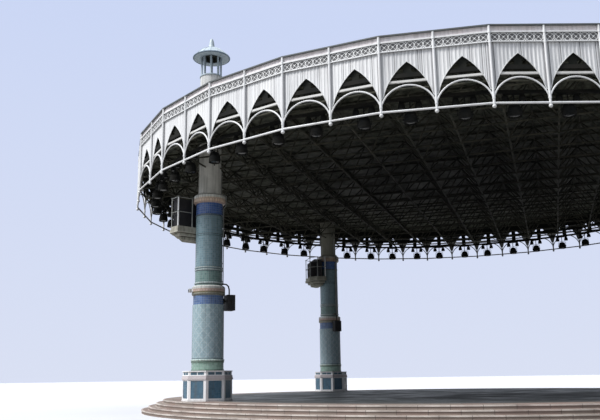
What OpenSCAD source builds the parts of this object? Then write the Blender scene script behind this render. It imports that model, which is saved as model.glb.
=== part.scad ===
// Open-air bandstand: a round stage on steps, four tiled columns with loudspeaker
// balconies, and a flat space-frame canopy behind an arcaded sheet-metal fascia.
// Millimetres. Origin on the ground at the centre, +Z up, columns on the diagonals.

/* [Canopy] */
// Radius of the canopy at its corners
canopy_r = 17000; // [16900:10:17100]
// Height of the tie rods above the ground
tie_z = 10485; // [10450:5:10520]
// Height of the fascia from tie rod to top edge
fascia_h = 2868; // [2850:2:2880]
// Size across the flats of the fascia posts
post_w = 90; // [86:1:100]
// Thickness of the tie rods and of the bar behind the sheets
bar_t = 80; // [70:1:82]
// Thickness of the fascia sheets
sheet_t = 16; // [10:1:20]
// Fields of the space frame between its middle and a column
column_fields = 5; // [4:1:6]
// Thickness of the chords of the space frame
chord_w = 90; // [70:2:110]

/* [Stage] */
// Reach of the canopy past the edge of the stage
overhang = 1600; // [1500:10:1700]
// Height of one step
riser = 150; // [140:2:160]
// Depth of one tread
tread = 340; // [300:10:380]
// Width of the stone border round the dark floor
border_w = 1500; // [1400:10:1700]

/* [Columns] */
// Distance of the columns from the edge of the stage
column_inset = 1400; // [1300:10:1500]
// Radius of the lower tiled shaft
lower_r = 720; // [700:2:740]
// Radius of the upper tiled shaft
upper_r = 625; // [610:1:640]
// Radius of the plain head of the column
head_r = 530; // [500:2:560]
// Corner radius of the eight-sided plinth
plinth_r = 1120; // [1080:5:1150]
// Height of the head of the column above the ground
head_z = 16060; // [16000:10:16200]

/* [Balconies] */
// Reach of a balcony from the axis of its column
balcony_l = 1500; // [1480:10:1600]
// Reach of a balcony sideways, away from the centre of the stage
balcony_w = 1500; // [1480:10:1600]
// Reach of a balcony sideways, towards the centre of the stage
balcony_n = 900; // [880:10:1000]
// Height of the balcony floor above the ground
balcony_z = 8370; // [8320:10:8420]
// Turn of the balcony away from the line of the ring
balcony_turn = 15; // [0:1:30]

/* [Hidden] */

// Plan of the canopy: a regular polygon with two bays on each side
sides = 28;
side_step = 360 / sides;
apothem = canopy_r * cos(side_step / 2);
side_l = 2 * canopy_r * sin(side_step / 2);
bay = side_l / 2;
quarter_sides = sides / 4;

// Heights on the fascia, as shares of its height
top_z = tie_z + fascia_h;
spring_z = tie_z + 0.18 * fascia_h;
point_z = tie_z + 0.637 * fascia_h;
round_top_z = tie_z + 0.335 * fascia_h;
round_spring_z = tie_z + 0.06 * fascia_h;
bar_z = tie_z + 0.385 * fascia_h;
frieze_low_z = tie_z + 0.775 * fascia_h;
frieze_top_z = tie_z + 0.905 * fascia_h;
pendant_z = tie_z - 110;
pendant_r = 72;

// Planes of the fascia, counted outward from the side plane of the posts
back_plane = -post_w / 2;
bar_plane = back_plane + 3;
sheet_plane = back_plane - sheet_t;
inner_plane = sheet_plane - bar_t;
rail_w = 60;
arch_w = 62;
leg_w = 75;
capping_t = 45;
capping_w = 150;

// Space frame and roof
bottom_z = tie_z + 0.279 * fascia_h;
top_chord_z = tie_z + 0.7235 * fascia_h;
ring_beam_w = 160;
rim_z = tie_z + 0.436 * fascia_h;
rim_h = 150;
rim_w = 100;
lamp_inset = 1000;
lamp_ring = canopy_r - lamp_inset;
lamp_rail_w = 90;
lamp_rail_h = 110;
deck_z = top_chord_z + chord_w;
deck_edge_t = 60;
deck_rise = 420;
saddle_lap = 60;
cuff_w = 130;

// Stage
stage_r = canopy_r - overhang;
floor_r = stage_r - border_w;
floor_z = 4 * riser;
floor_t = 60;
nose = 25;
nose_h = 45;

// Courses of a plinth, from the floor up, and the panels sunk into them
base_h = 70;
base_out = 20;
die_h = 860;
moulding_h = 80;
moulding_out = 35;
fillet_h = 100;
fillet_out = 10;
band_h = 160;
band_in = 25;
crown_h = 40;
die_z = floor_z + base_h;
moulding_z = die_z + die_h;
fillet_z = moulding_z + moulding_h;
band_z = fillet_z + fillet_h;
crown_z = band_z + band_h;
panel_w = 620;
panel_h = 760;
panel_t = 25;
slot_w = 640;
slot_h = 120;
slot_t = 15;

// Place and heights of a column
column_ring = stage_r - column_inset;
column_xy = column_ring / sqrt(2);
chord_pitch = column_xy / column_fields;
chord_fields = (apothem + sheet_plane - ring_beam_w) / chord_pitch;
saddle_r = chord_pitch / 2 + saddle_lap;
cuff_r = head_r + cuff_w;
plinth_z = crown_z + crown_h;
lower_z = 4860;
mid_collar_z = 5275;
mid_collar_h = 445;
upper_z = mid_collar_z + mid_collar_h;
top_collar_z = 9590;
top_collar_h = 425;
green_band_h = 350;
ring_h = 60;
ring_gap = 700;

// Lantern over each column
lantern_post_r = 45;
lantern_inset = 60;
lantern_ring = head_r - lantern_inset;
lantern_h = 970;
brim_z = head_z + lantern_h;
brim_r = 920;
hood_h = 570;
spike_h = 520;
throat_h = 250;
hood_top_z = brim_z + hood_h;
lantern_top_z = hood_top_z + spike_h;

// Railing and cabinets of a balcony
balcony_back = 380;
balcony_cut = 450;
kerb_h = 130;
kerb_w = 60;
railing_post = 50;
railing_h = 1370;
railing_inset = 60;
cabinet_h = 1480;
cabinet_gap = 80;
cabinet_clear = 110;

// Regular polygon of the canopy with the given distance to its sides
module canopy_outline(distance) {
  corner = distance / cos(side_step / 2);
  polygon([for (i = [0:sides - 1]) [corner * cos(i * side_step), corner * sin(i * side_step)]]);
}

// Upright ring between two distances from the centre
module canopy_ring(outer, inner, z, h) {
  translate([0, 0, z])
    linear_extrude(h)
      difference() {
        canopy_outline(outer);
        canopy_outline(inner);
      }
}

// Quarter of space that starts at the given angle
module quarter(turn) {
  reach = 1.2 * canopy_r;
  rotate([0, 0, turn])
    translate([0, 0, -1])
      cube([reach, reach, lantern_top_z]);
}

// Puts a drawing of one side upright in the side plane, thick from start to end
module on_side(index, start, end) {
  rotate([0, 0, (index + 0.5) * side_step])
    translate([apothem + start, 0, 0])
      rotate([90, 0, 90])
        linear_extrude(end - start)
          children();
}

// Level bar across one side, centred on the given height
module level_bar(z, w) {
  translate([-side_l / 2, z - w / 2])
    square([side_l, w]);
}

// Round arch tube of one bay
module round_arch(u) {
  half = bay / 2;
  rise = round_top_z - round_spring_z;
  r = (half * half + rise * rise) / (2 * rise);
  translate([u, round_spring_z])
    intersection() {
      translate([0, rise - r])
        difference() {
          circle(r, $fn = 96);
          circle(r - arch_w, $fn = 96);
        }
      translate([-half, 0])
        square([bay, rise]);
    }
}

// Opening of one bay: two shallow arcs that meet in a point
module pointed_opening(u) {
  half = bay / 2 - leg_w;
  rise = point_z - spring_z;
  chord = sqrt(half * half + rise * rise);
  r = 2.16 * chord;
  sag = sqrt(r * r - chord * chord / 4);
  centre_u = half / 2 - sag * rise / chord;
  centre_v = rise / 2 - sag * half / chord;
  below = 400;
  translate([u, spring_z])
    union() {
      intersection() {
        translate([centre_u, centre_v])
          circle(r, $fn = 96);
        translate([-centre_u, centre_v])
          circle(r, $fn = 96);
        translate([-half, 0])
          square([2 * half, rise + 10]);
      }
      translate([-half, -below])
        square([2 * half, below + 1]);
    }
}

// Upright of the fascia with its pendant ball
module fascia_post() {
  corner = post_w / 2 / cos(22.5);
  translate([0, 0, pendant_z])
    rotate([0, 0, 22.5])
      cylinder(h = top_z - capping_t - pendant_z, r = corner, $fn = 8);
  translate([0, 0, pendant_z])
    sphere(pendant_r, $fn = 24);
}

// Post at a corner of the canopy
module corner_post(index) {
  rotate([0, 0, index * side_step])
    translate([canopy_r, 0, 0])
      fascia_post();
}

// Post in the middle of a side
module middle_post(index) {
  rotate([0, 0, (index + 0.5) * side_step])
    translate([apothem, 0, 0])
      fascia_post();
}

// Welded bars of one side: tie rod, the two rails of the frieze and the two round arches
module side_bars(index) {
  on_side(index, bar_plane, bar_plane + bar_t)
    level_bar(tie_z, bar_t);
  on_side(index, bar_plane, bar_plane + rail_w)
    union() {
      level_bar(frieze_low_z, rail_w);
      level_bar(frieze_top_z, rail_w);
    }
  on_side(index, -arch_w / 2, arch_w / 2)
    union() {
      round_arch(-bay / 2);
      round_arch(bay / 2);
    }
}

// Frame of a quarter of the fascia
module fascia_frame(first) {
  color("white")
    difference() {
      union()
        for (i = [first:first + quarter_sides - 1]) {
          corner_post(i);
          middle_post(i);
          side_bars(i);
        }
      corner_post(first + quarter_sides);
    }
}

// Sheets of a quarter of the fascia, cut out under a pointed arch in each bay
module fascia_panels(first) {
  color("gainsboro")
    difference() {
      intersection() {
        canopy_ring(apothem + back_plane, apothem + sheet_plane, spring_z, frieze_low_z - spring_z);
        quarter(first * side_step);
      }
      for (i = [first:first + quarter_sides - 1])
        on_side(i, sheet_plane - 10, back_plane + 10)
          union() {
            pointed_opening(-bay / 2);
            pointed_opening(bay / 2);
          }
    }
}

// Chain of rings between the two upper bars of one bay
module frieze_rings(u) {
  units = 6;
  pitch = (bay - post_w) / units;
  low = frieze_low_z + rail_w / 2;
  high = frieze_top_z - rail_w / 2;
  ring_r = (high - low) / 2;
  ring_w = 26;
  difference() {
    for (i = [0:units - 1])
      ring_at(u + (i + 0.5 - units / 2) * pitch, (low + high) / 2, ring_r, ring_w);
    for (end = [-1, 1])
      translate([u + end * bay / 2 - post_w / 2, low])
        square([post_w, high - low]);
  }
}

// Flat ring drawn on a side
module ring_at(u, v, r, w) {
  translate([u, v])
    difference() {
      circle(r, $fn = 48);
      circle(r - w, $fn = 48);
    }
}

// Frieze of a quarter of the fascia
module frieze(first) {
  thick = 20;
  color("white")
    for (i = [first:first + quarter_sides - 1])
      on_side(i, bar_plane, bar_plane + thick)
        union() {
          frieze_rings(-bay / 2);
          frieze_rings(bay / 2);
        }
}

module parapet() {
  color("rosybrown")
    canopy_ring(apothem + back_plane, apothem + sheet_plane, frieze_low_z, top_z - capping_t - frieze_low_z);
}

module capping() {
  color("dimgray")
    canopy_ring(apothem + post_w / 2, apothem + post_w / 2 - capping_w, top_z - capping_t, capping_t);
}

// Rings inside the canopy: the bar behind the sheets, the rim rail and the rail of the lamps
module inner_rails() {
  inside = apothem + sheet_plane;
  color("gray") {
    canopy_ring(inside, apothem + inner_plane, bar_z - bar_t / 2, bar_t);
    canopy_ring(inside, inside - rim_w, rim_z, rim_h);
    canopy_ring(
      lamp_ring + lamp_rail_w / 2, lamp_ring - lamp_rail_w / 2, bottom_z - lamp_rail_h, lamp_rail_h);
  }
}

// Grid of level bars inside the canopy, with its ring beam and a plate round each column
module chord_grid(lines, plate_r) {
  inside = apothem + sheet_plane;
  difference() {
    union() {
      difference() {
        canopy_outline(inside);
        canopy_outline(inside - ring_beam_w);
      }
      intersection() {
        canopy_outline(inside - ring_beam_w / 2);
        union()
          for (k = lines) {
            translate([k * chord_pitch - chord_w / 2, -canopy_r])
              square([chord_w, 2 * canopy_r]);
            translate([-canopy_r, k * chord_pitch - chord_w / 2])
              square([2 * canopy_r, chord_w]);
          }
      }
      for (x = [-column_xy, column_xy], y = [-column_xy, column_xy])
        translate([x, y])
          circle(plate_r, $fn = 64);
    }
    for (x = [-column_xy, column_xy], y = [-column_xy, column_xy])
      translate([x, y])
        circle(head_r, $fn = 64);
  }
}

module bottom_chords() {
  color("dimgray")
    translate([0, 0, bottom_z])
      linear_extrude(chord_w)
        chord_grid([-floor(chord_fields):floor(chord_fields)], cuff_r);
}

module top_chords() {
  last = floor(chord_fields - 0.5) + 0.5;
  color("dimgray")
    translate([0, 0, top_chord_z])
      linear_extrude(chord_w)
        chord_grid([-last:last], saddle_r);
}

module roof_deck() {
  reach = apothem + sheet_plane;
  color("gray")
    difference() {
      intersection() {
        translate([0, 0, deck_z])
          linear_extrude(deck_rise + deck_edge_t)
            canopy_outline(reach);
        translate([0, 0, deck_z])
          union() {
            cylinder(h = deck_edge_t, r = canopy_r, $fn = 96);
            translate([0, 0, deck_edge_t])
              cylinder(h = deck_rise, r1 = canopy_r, r2 = 500, $fn = 96);
          }
      }
      each_column()
        translate([0, 0, deck_z - 1])
          cylinder(h = 1000, r = head_r, $fn = 64);
    }
}

// Repeats a piece at the four columns, with +X outward
module each_column() {
  for (number = [1:4])
    at_column(number)
      children();
}

// Puts a piece at one column, with +X outward
module at_column(number) {
  rotate([0, 0, 315 - 90 * number])
    translate([column_ring, 0, 0])
      children();
}

// Puts a piece at the balcony of one column, with +X along the balcony
module at_balcony(number) {
  toward = (number % 2 == 1) ? -1 : 1;
  at_column(number)
    rotate([0, 0, toward * (90 - balcony_turn)])
      mirror([0, max(toward, 0), 0])
        children();
}

// Stone drum of the stage with a sunk bed for the floor and a nosing along its edge
module stage_drum() {
  color("rosybrown")
    rotate_extrude($fn = 180)
      polygon([
        [0, 0], [stage_r - nose, 0], [stage_r - nose, floor_z - nose_h], [stage_r, floor_z - nose_h],
        [stage_r, floor_z], [floor_r, floor_z], [floor_r, floor_z - floor_t], [0, floor_z - floor_t]]);
}

module stage_floor() {
  color("darkslategray")
    translate([0, 0, floor_z - floor_t])
      cylinder(h = floor_t, r = floor_r, $fn = 180);
}

// One step round the stage, counted from the ground, with its nosing
module stage_step(level) {
  outer = stage_r + (4 - level) * tread;
  inner = outer - tread - nose;
  h = level * riser;
  rotate_extrude($fn = 180)
    polygon([
      [inner, 0], [outer - nose, 0], [outer - nose, h - nose_h],
      [outer, h - nose_h], [outer, h], [inner, h]]);
}

module stage_steps() {
  color("tan")
    for (level = [1:3])
      stage_step(level);
}

// Course of the plinth: an eight-sided slab with a flat towards the centre
module course(z, h, out) {
  translate([0, 0, z])
    rotate([0, 0, 22.5])
      cylinder(h = h, r = plinth_r + out, $fn = 8);
}

// Panels sunk into the eight faces of a course
module sunk_panels(z, h, w, out, depth) {
  flat = (plinth_r + out) * cos(22.5);
  for (k = [0:7])
    rotate([0, 0, 45 * k])
      translate([flat - depth, -w / 2, z])
        cube([depth + 50, w, h]);
}

module column_plinth(number) {
  color("whitesmoke")
    at_column(number)
      difference() {
        union() {
          course(floor_z, base_h, base_out);
          course(die_z, die_h, 0);
          course(moulding_z, moulding_h, moulding_out);
          course(fillet_z, fillet_h, fillet_out);
          course(band_z, band_h, -band_in);
          course(crown_z, crown_h, fillet_out);
        }
        sunk_panels(die_z + (die_h - panel_h) / 2, panel_h, panel_w, 0, panel_t);
        sunk_panels(band_z + (band_h - slot_h) / 2, slot_h, slot_w, -band_in, slot_t);
      }
}

// Shaft of a column as one turned piece
module column_shaft(number) {
  low = plinth_z;
  color("cadetblue")
    at_column(number)
      rotate_extrude($fn = 96)
        polygon([
          [0, low], [lower_r, low], [lower_r, lower_z], [lower_r - 25, lower_z],
          [lower_r - 25, mid_collar_z], [upper_r, mid_collar_z], [upper_r, top_collar_z],
          [head_r, top_collar_z], [head_r, head_z], [0, head_z]]);
}

// Turned band round a shaft
module band(z, h, inner, outer, ease) {
  rotate_extrude($fn = 96)
    polygon([
      [inner, z], [outer - ease, z], [outer, z + ease], [outer, z + h - ease],
      [outer - ease, z + h], [inner, z + h]]);
}

module column_collars(number) {
  color("burlywood")
    at_column(number) {
      band(plinth_z, ring_h, lower_r, lower_r + 25, 12);
      band(plinth_z + green_band_h, 1.5 * ring_h, lower_r, lower_r + 25, 15);
      band(plinth_z + green_band_h + 1.5 * ring_h, ring_h, lower_r, lower_r + 40, 15);
      band(mid_collar_z, mid_collar_h, upper_r, lower_r + 45, 60);
      band(upper_z + 1.5 * ring_h, 1.25 * ring_h, upper_r, upper_r + 35, 15);
      band(upper_z + ring_gap, ring_h, upper_r, upper_r + 25, 12);
      band(upper_z + ring_gap + 1.8 * ring_h, ring_h, upper_r, upper_r + 25, 12);
      band(top_collar_z - 9.7 * ring_h, ring_h, upper_r, upper_r + 20, 10);
      band(top_collar_z, top_collar_h, head_r, upper_r + 120, 70);
    }
}

// Plan of a balcony, drawn in by the given distance, with its back edge across the column
module balcony_plan(inset) {
  back = balcony_back + inset / 2;
  l = balcony_l - inset;
  w = balcony_w - inset;
  near = balcony_n - inset;
  front = l - balcony_cut;
  polygon([
    [back, -near], [front, -near], [l, balcony_cut - near], [l, w - balcony_cut], [front, w], [back, w]]);
}

// Stepped corbel, floor and kerb of the balcony beside one column
module balcony(number) {
  slab_h = 150;
  step_h = 160;
  foot_h = 160;
  low = balcony_z - slab_h - step_h - foot_h;
  kerb_inset = 30;
  color("gray")
    at_balcony(number)
      difference() {
        union() {
          translate([0, 0, low])
            linear_extrude(foot_h)
              balcony_plan(2 * step_h);
          translate([0, 0, low + foot_h])
            linear_extrude(step_h)
              balcony_plan(step_h);
          translate([0, 0, balcony_z - slab_h])
            linear_extrude(slab_h)
              balcony_plan(0);
          translate([0, 0, balcony_z])
            linear_extrude(kerb_h)
              balcony_plan(kerb_inset);
        }
        translate([0, 0, balcony_z])
          linear_extrude(kerb_h + 1)
            difference() {
              balcony_plan(kerb_inset + kerb_w);
              translate([balcony_back, -balcony_w])
                square([kerb_inset / 2 + kerb_w, 2 * balcony_w]);
            }
        translate([0, 0, low - 1])
          cylinder(h = balcony_z - low + kerb_h + 2, r = upper_r, $fn = 96);
      }
}

// Railing of one balcony: posts on the kerb, a middle rail and a top rail
module balcony_railing() {
  back = balcony_back + railing_inset;
  l = balcony_l - railing_inset;
  w = balcony_w - railing_inset;
  near = balcony_n - railing_inset;
  front = l - balcony_cut;
  beside = upper_r + railing_post;
  kerb_top = balcony_z + kerb_h;
  top_rail_z = kerb_top + railing_h;
  rail_z = kerb_top + railing_h / 2;
  outline = [
    [back, -beside], [back, -near], [front, -near], [l, balcony_cut - near], [l, w - balcony_cut], [front, w],
    [back, w], [back, beside]];
  for (p = outline)
    translate([p[0], p[1], kerb_top])
      cylinder(h = railing_h + railing_post / 2, r = railing_post / 2, $fn = 8);
  for (z = [rail_z, top_rail_z], k = [0:len(outline) - 2])
    rail(outline[k], outline[k + 1], z, 0.75 * railing_post);
}

// Level bar between two points of a plan
module rail(from, to, z, w) {
  along = to - from;
  translate([from[0], from[1], z])
    rotate([0, 0, atan2(along[1], along[0])])
      translate([0, -w / 2, -w / 2])
        cube([norm(along), w, w]);
}

module balcony_railings() {
  color("white")
    for (number = [1:4])
      at_balcony(number)
        balcony_railing();
}

// One cabinet that stands on a balcony, from its near corner
module cabinet(u, v, l, w, h) {
  translate([u, v, balcony_z])
    cube([l, w, h]);
}

// Three cabinets on each balcony: one on each side of the column and one in front
module balcony_loudspeakers() {
  slit = 20;
  front_clear = 75;
  l = balcony_l - railing_inset;
  w = balcony_w - railing_inset;
  near = balcony_n - railing_inset;
  side_u = upper_r + 35;
  side_l = (l - front_clear - slit - side_u) / 2;
  long_w = w - cabinet_clear - cabinet_gap;
  short_w = near - cabinet_clear - cabinet_gap;
  front_u = side_u + side_l + slit;
  front_v = balcony_cut - near + railing_post;
  front_w = w - balcony_cut - 1.5 * cabinet_clear - front_v;
  color("black")
    for (number = [1:4])
      at_balcony(number) {
        cabinet(side_u, cabinet_gap, side_l, long_w, cabinet_h);
        cabinet(side_u, -cabinet_gap - short_w, side_l, short_w, 0.9 * cabinet_h);
        cabinet(front_u, front_v, side_l, front_w, 0.82 * cabinet_h);
      }
}

// Cabinet hung on an arm on the inner side of each column
module column_loudspeakers() {
  arm = 250;
  arm_w = 80;
  case_l = 380;
  case_w = 480;
  case_h = 720;
  arm_z = mid_collar_z - arm;
  color("black")
    each_column()
      mirror([1, 0, 0])
        union() {
          translate([lower_r - arm / 10, -arm_w / 2, arm_z])
            cube([arm, arm_w, arm_w]);
          translate([lower_r + arm / 2, -case_w / 2, arm_z + arm_w + arm - case_h])
            cube([case_l, case_w, case_h]);
        }
}

// Floodlight on an arm on the outer side of each middle collar
module floodlights() {
  arm = 110;
  arm_w = 50;
  case_w = 220;
  case_h = 170;
  middle = mid_collar_z + mid_collar_h / 2;
  color("white")
    each_column()
      union() {
        translate([lower_r + 45, -arm_w / 2, middle - arm_w / 2])
          cube([arm, arm_w, arm_w]);
        translate([lower_r + 45 + 0.7 * arm, -case_w / 2, middle - case_h / 2])
          cube([arm, case_w, case_h]);
      }
}

module lantern_posts() {
  color("slategray")
    each_column()
      for (k = [0:7])
        rotate([0, 0, 45 * k + 22.5])
          translate([lantern_ring, 0, head_z])
            cylinder(h = brim_z + throat_h - head_z, r = lantern_post_r, $fn = 8);
}

// Wide curved hood with a round hollow that takes the posts, and a tall spike
module lantern_hoods() {
  skin = 40;
  mouth_r = 0.58 * brim_r;
  color("powderblue")
    each_column()
      rotate_extrude($fn = 96)
        polygon([
          [mouth_r, brim_z], [brim_r, brim_z], [brim_r, brim_z + skin],
          [0.66 * brim_r, brim_z + 0.58 * hood_h], [0.40 * brim_r, brim_z + 0.86 * hood_h],
          [0.19 * brim_r, hood_top_z], [0.13 * brim_r, hood_top_z + 0.25 * spike_h],
          [0.06 * brim_r, hood_top_z + 0.62 * spike_h], [0.015 * brim_r, lantern_top_z],
          [0, lantern_top_z], [0, brim_z + throat_h], [mouth_r, brim_z + throat_h]]);
}

// Lamps of one bay under the lamp rail: a crossbar, two small lamps and a large one on a stem
module lamp_cluster() {
  top = bottom_z - lamp_rail_h;
  cross_l = 760;
  cross_w = 60;
  small_r = 130;
  small_h = 250;
  large_r = 250;
  large_h = 450;
  large_top = top - 410;
  stem_r = 25;
  translate([-cross_w / 2, -cross_l / 2, top - cross_w])
    cube([cross_w, cross_l, cross_w]);
  for (v = [-0.4 * cross_l, 0.4 * cross_l])
    translate([0, v, top - cross_w - small_h])
      cylinder(h = small_h, r = small_r, $fn = 24);
  translate([0, 0, large_top])
    cylinder(h = top - large_top, r = stem_r, $fn = 16);
  translate([0, 0, large_top - large_h])
    cylinder(h = large_h, r = large_r, $fn = 24);
}

module stage_lamps() {
  color("black")
    for (i = [0:sides - 1], u = [-bay / 2, bay / 2])
      rotate([0, 0, (i + 0.5) * side_step])
        translate([lamp_ring, u, 0])
          lamp_cluster();
}

stage_drum();
stage_floor();
stage_steps();
column_plinth(1);  // column_1_plinth
column_plinth(2);  // column_2_plinth
column_plinth(3);  // column_3_plinth
column_plinth(4);  // column_4_plinth
column_shaft(1);  // column_1_shaft
column_shaft(2);  // column_2_shaft
column_shaft(3);  // column_3_shaft
column_shaft(4);  // column_4_shaft
column_collars(1);  // column_1_collars
column_collars(2);  // column_2_collars
column_collars(3);  // column_3_collars
column_collars(4);  // column_4_collars
balcony(1);  // balcony_1
balcony(2);  // balcony_2
balcony(3);  // balcony_3
balcony(4);  // balcony_4
balcony_railings();
balcony_loudspeakers();
column_loudspeakers();
floodlights();
lantern_posts();
lantern_hoods();
fascia_frame(14);  // fascia_frame_front_left
fascia_frame(21);  // fascia_frame_front_right
fascia_frame(7);  // fascia_frame_back_left
fascia_frame(0);  // fascia_frame_back_right
fascia_panels(14);  // fascia_panels_front_left
fascia_panels(21);  // fascia_panels_front_right
fascia_panels(7);  // fascia_panels_back_left
fascia_panels(0);  // fascia_panels_back_right
frieze(14);  // frieze_front_left
frieze(21);  // frieze_front_right
frieze(7);  // frieze_back_left
frieze(0);  // frieze_back_right
parapet();
capping();
inner_rails();
bottom_chords();
top_chords();
roof_deck();
stage_lamps();
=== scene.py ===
import math

import bpy
from mathutils import Matrix, Vector


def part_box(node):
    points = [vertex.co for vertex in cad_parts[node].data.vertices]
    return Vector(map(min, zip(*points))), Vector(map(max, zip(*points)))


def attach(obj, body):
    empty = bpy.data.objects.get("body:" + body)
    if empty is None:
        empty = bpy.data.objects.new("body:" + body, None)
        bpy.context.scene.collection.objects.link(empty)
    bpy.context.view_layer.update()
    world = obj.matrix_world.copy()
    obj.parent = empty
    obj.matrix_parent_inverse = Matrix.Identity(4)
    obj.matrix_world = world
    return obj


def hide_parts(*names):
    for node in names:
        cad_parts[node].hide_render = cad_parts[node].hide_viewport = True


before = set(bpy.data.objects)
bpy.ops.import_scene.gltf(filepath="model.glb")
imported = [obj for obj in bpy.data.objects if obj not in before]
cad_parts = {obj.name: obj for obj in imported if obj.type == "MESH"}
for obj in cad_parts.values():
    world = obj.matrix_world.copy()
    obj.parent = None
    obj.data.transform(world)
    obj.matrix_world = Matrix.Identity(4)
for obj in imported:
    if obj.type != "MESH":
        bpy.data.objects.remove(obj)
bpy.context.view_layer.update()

# Plan and heights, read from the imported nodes; the shares are of the fascia's height
shares = {"point": 0.637, "bar": 0.385, "friezeTop": 0.905, "roundSpring": 0.06, "roundTop": 0.335}
sides = 28
step = 2 * math.pi / sides
halfCos = math.cos(step / 2)
postHalf = 0.045
legHalf = 0.075
headR = 0.53
pendantDrop = 0.182
parapetLow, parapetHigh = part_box("parapet")
cappingLow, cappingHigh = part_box("capping")
bottomLow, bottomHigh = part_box("bottom_chords")
topLow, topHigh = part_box("top_chords")
shaftLow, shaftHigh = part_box("column_3_shaft")
hoodLow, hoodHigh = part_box("lantern_hoods")
sheetPlane = -postHalf
apothem = parapetHigh.x * halfCos + postHalf
cornerR = apothem / halfCos
sideLength = 2 * cornerR * math.sin(step / 2)
bay = sideLength / 2
bayMiddles = (-bay / 2, bay / 2)
archHalf = bay / 2 - legHalf
cappingZ = cappingLow.z
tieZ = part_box("fascia_frame_front_left")[0].z + pendantDrop
fasciaH = cappingHigh.z - tieZ
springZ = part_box("fascia_panels_front_left")[0].z
pointZ, barZ, friezeTopZ, roundSpringZ, roundTopZ = (tieZ + share * fasciaH for share in shares.values())
friezeLowZ = parapetLow.z
bottomChordZ = (bottomLow.z + bottomHigh.z) / 2
topChordZ = (topLow.z + topHigh.z) / 2
deckLowZ, deckTopZ = (corner.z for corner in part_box("roof_deck"))
columnXY = (shaftLow.x + shaftHigh.x) / 2
headZ = shaftHigh.z
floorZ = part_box("stage_floor")[1].z
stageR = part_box("stage_drum")[1].x
tread = (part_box("stage_steps")[1].x - stageR) / 3
riser = floorZ / 4
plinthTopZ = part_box("column_3_plinth")[1].z
chordPitch = columnXY / 5
hoodBrim = hoodHigh.x - columnXY
columnPlaces = [(sx * columnXY, sy * columnXY) for sx, sy in ((-1, -1), (-1, 1), (1, 1), (1, -1))]
balconyTurn = math.radians(15)
sheetSizes = {"ribsPerBay": 14, "ribDepth": 0.013, "ribShares": (0.30, 0.42, 0.88), "edge": 0.013,
              "curve": 1.45}


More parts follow.
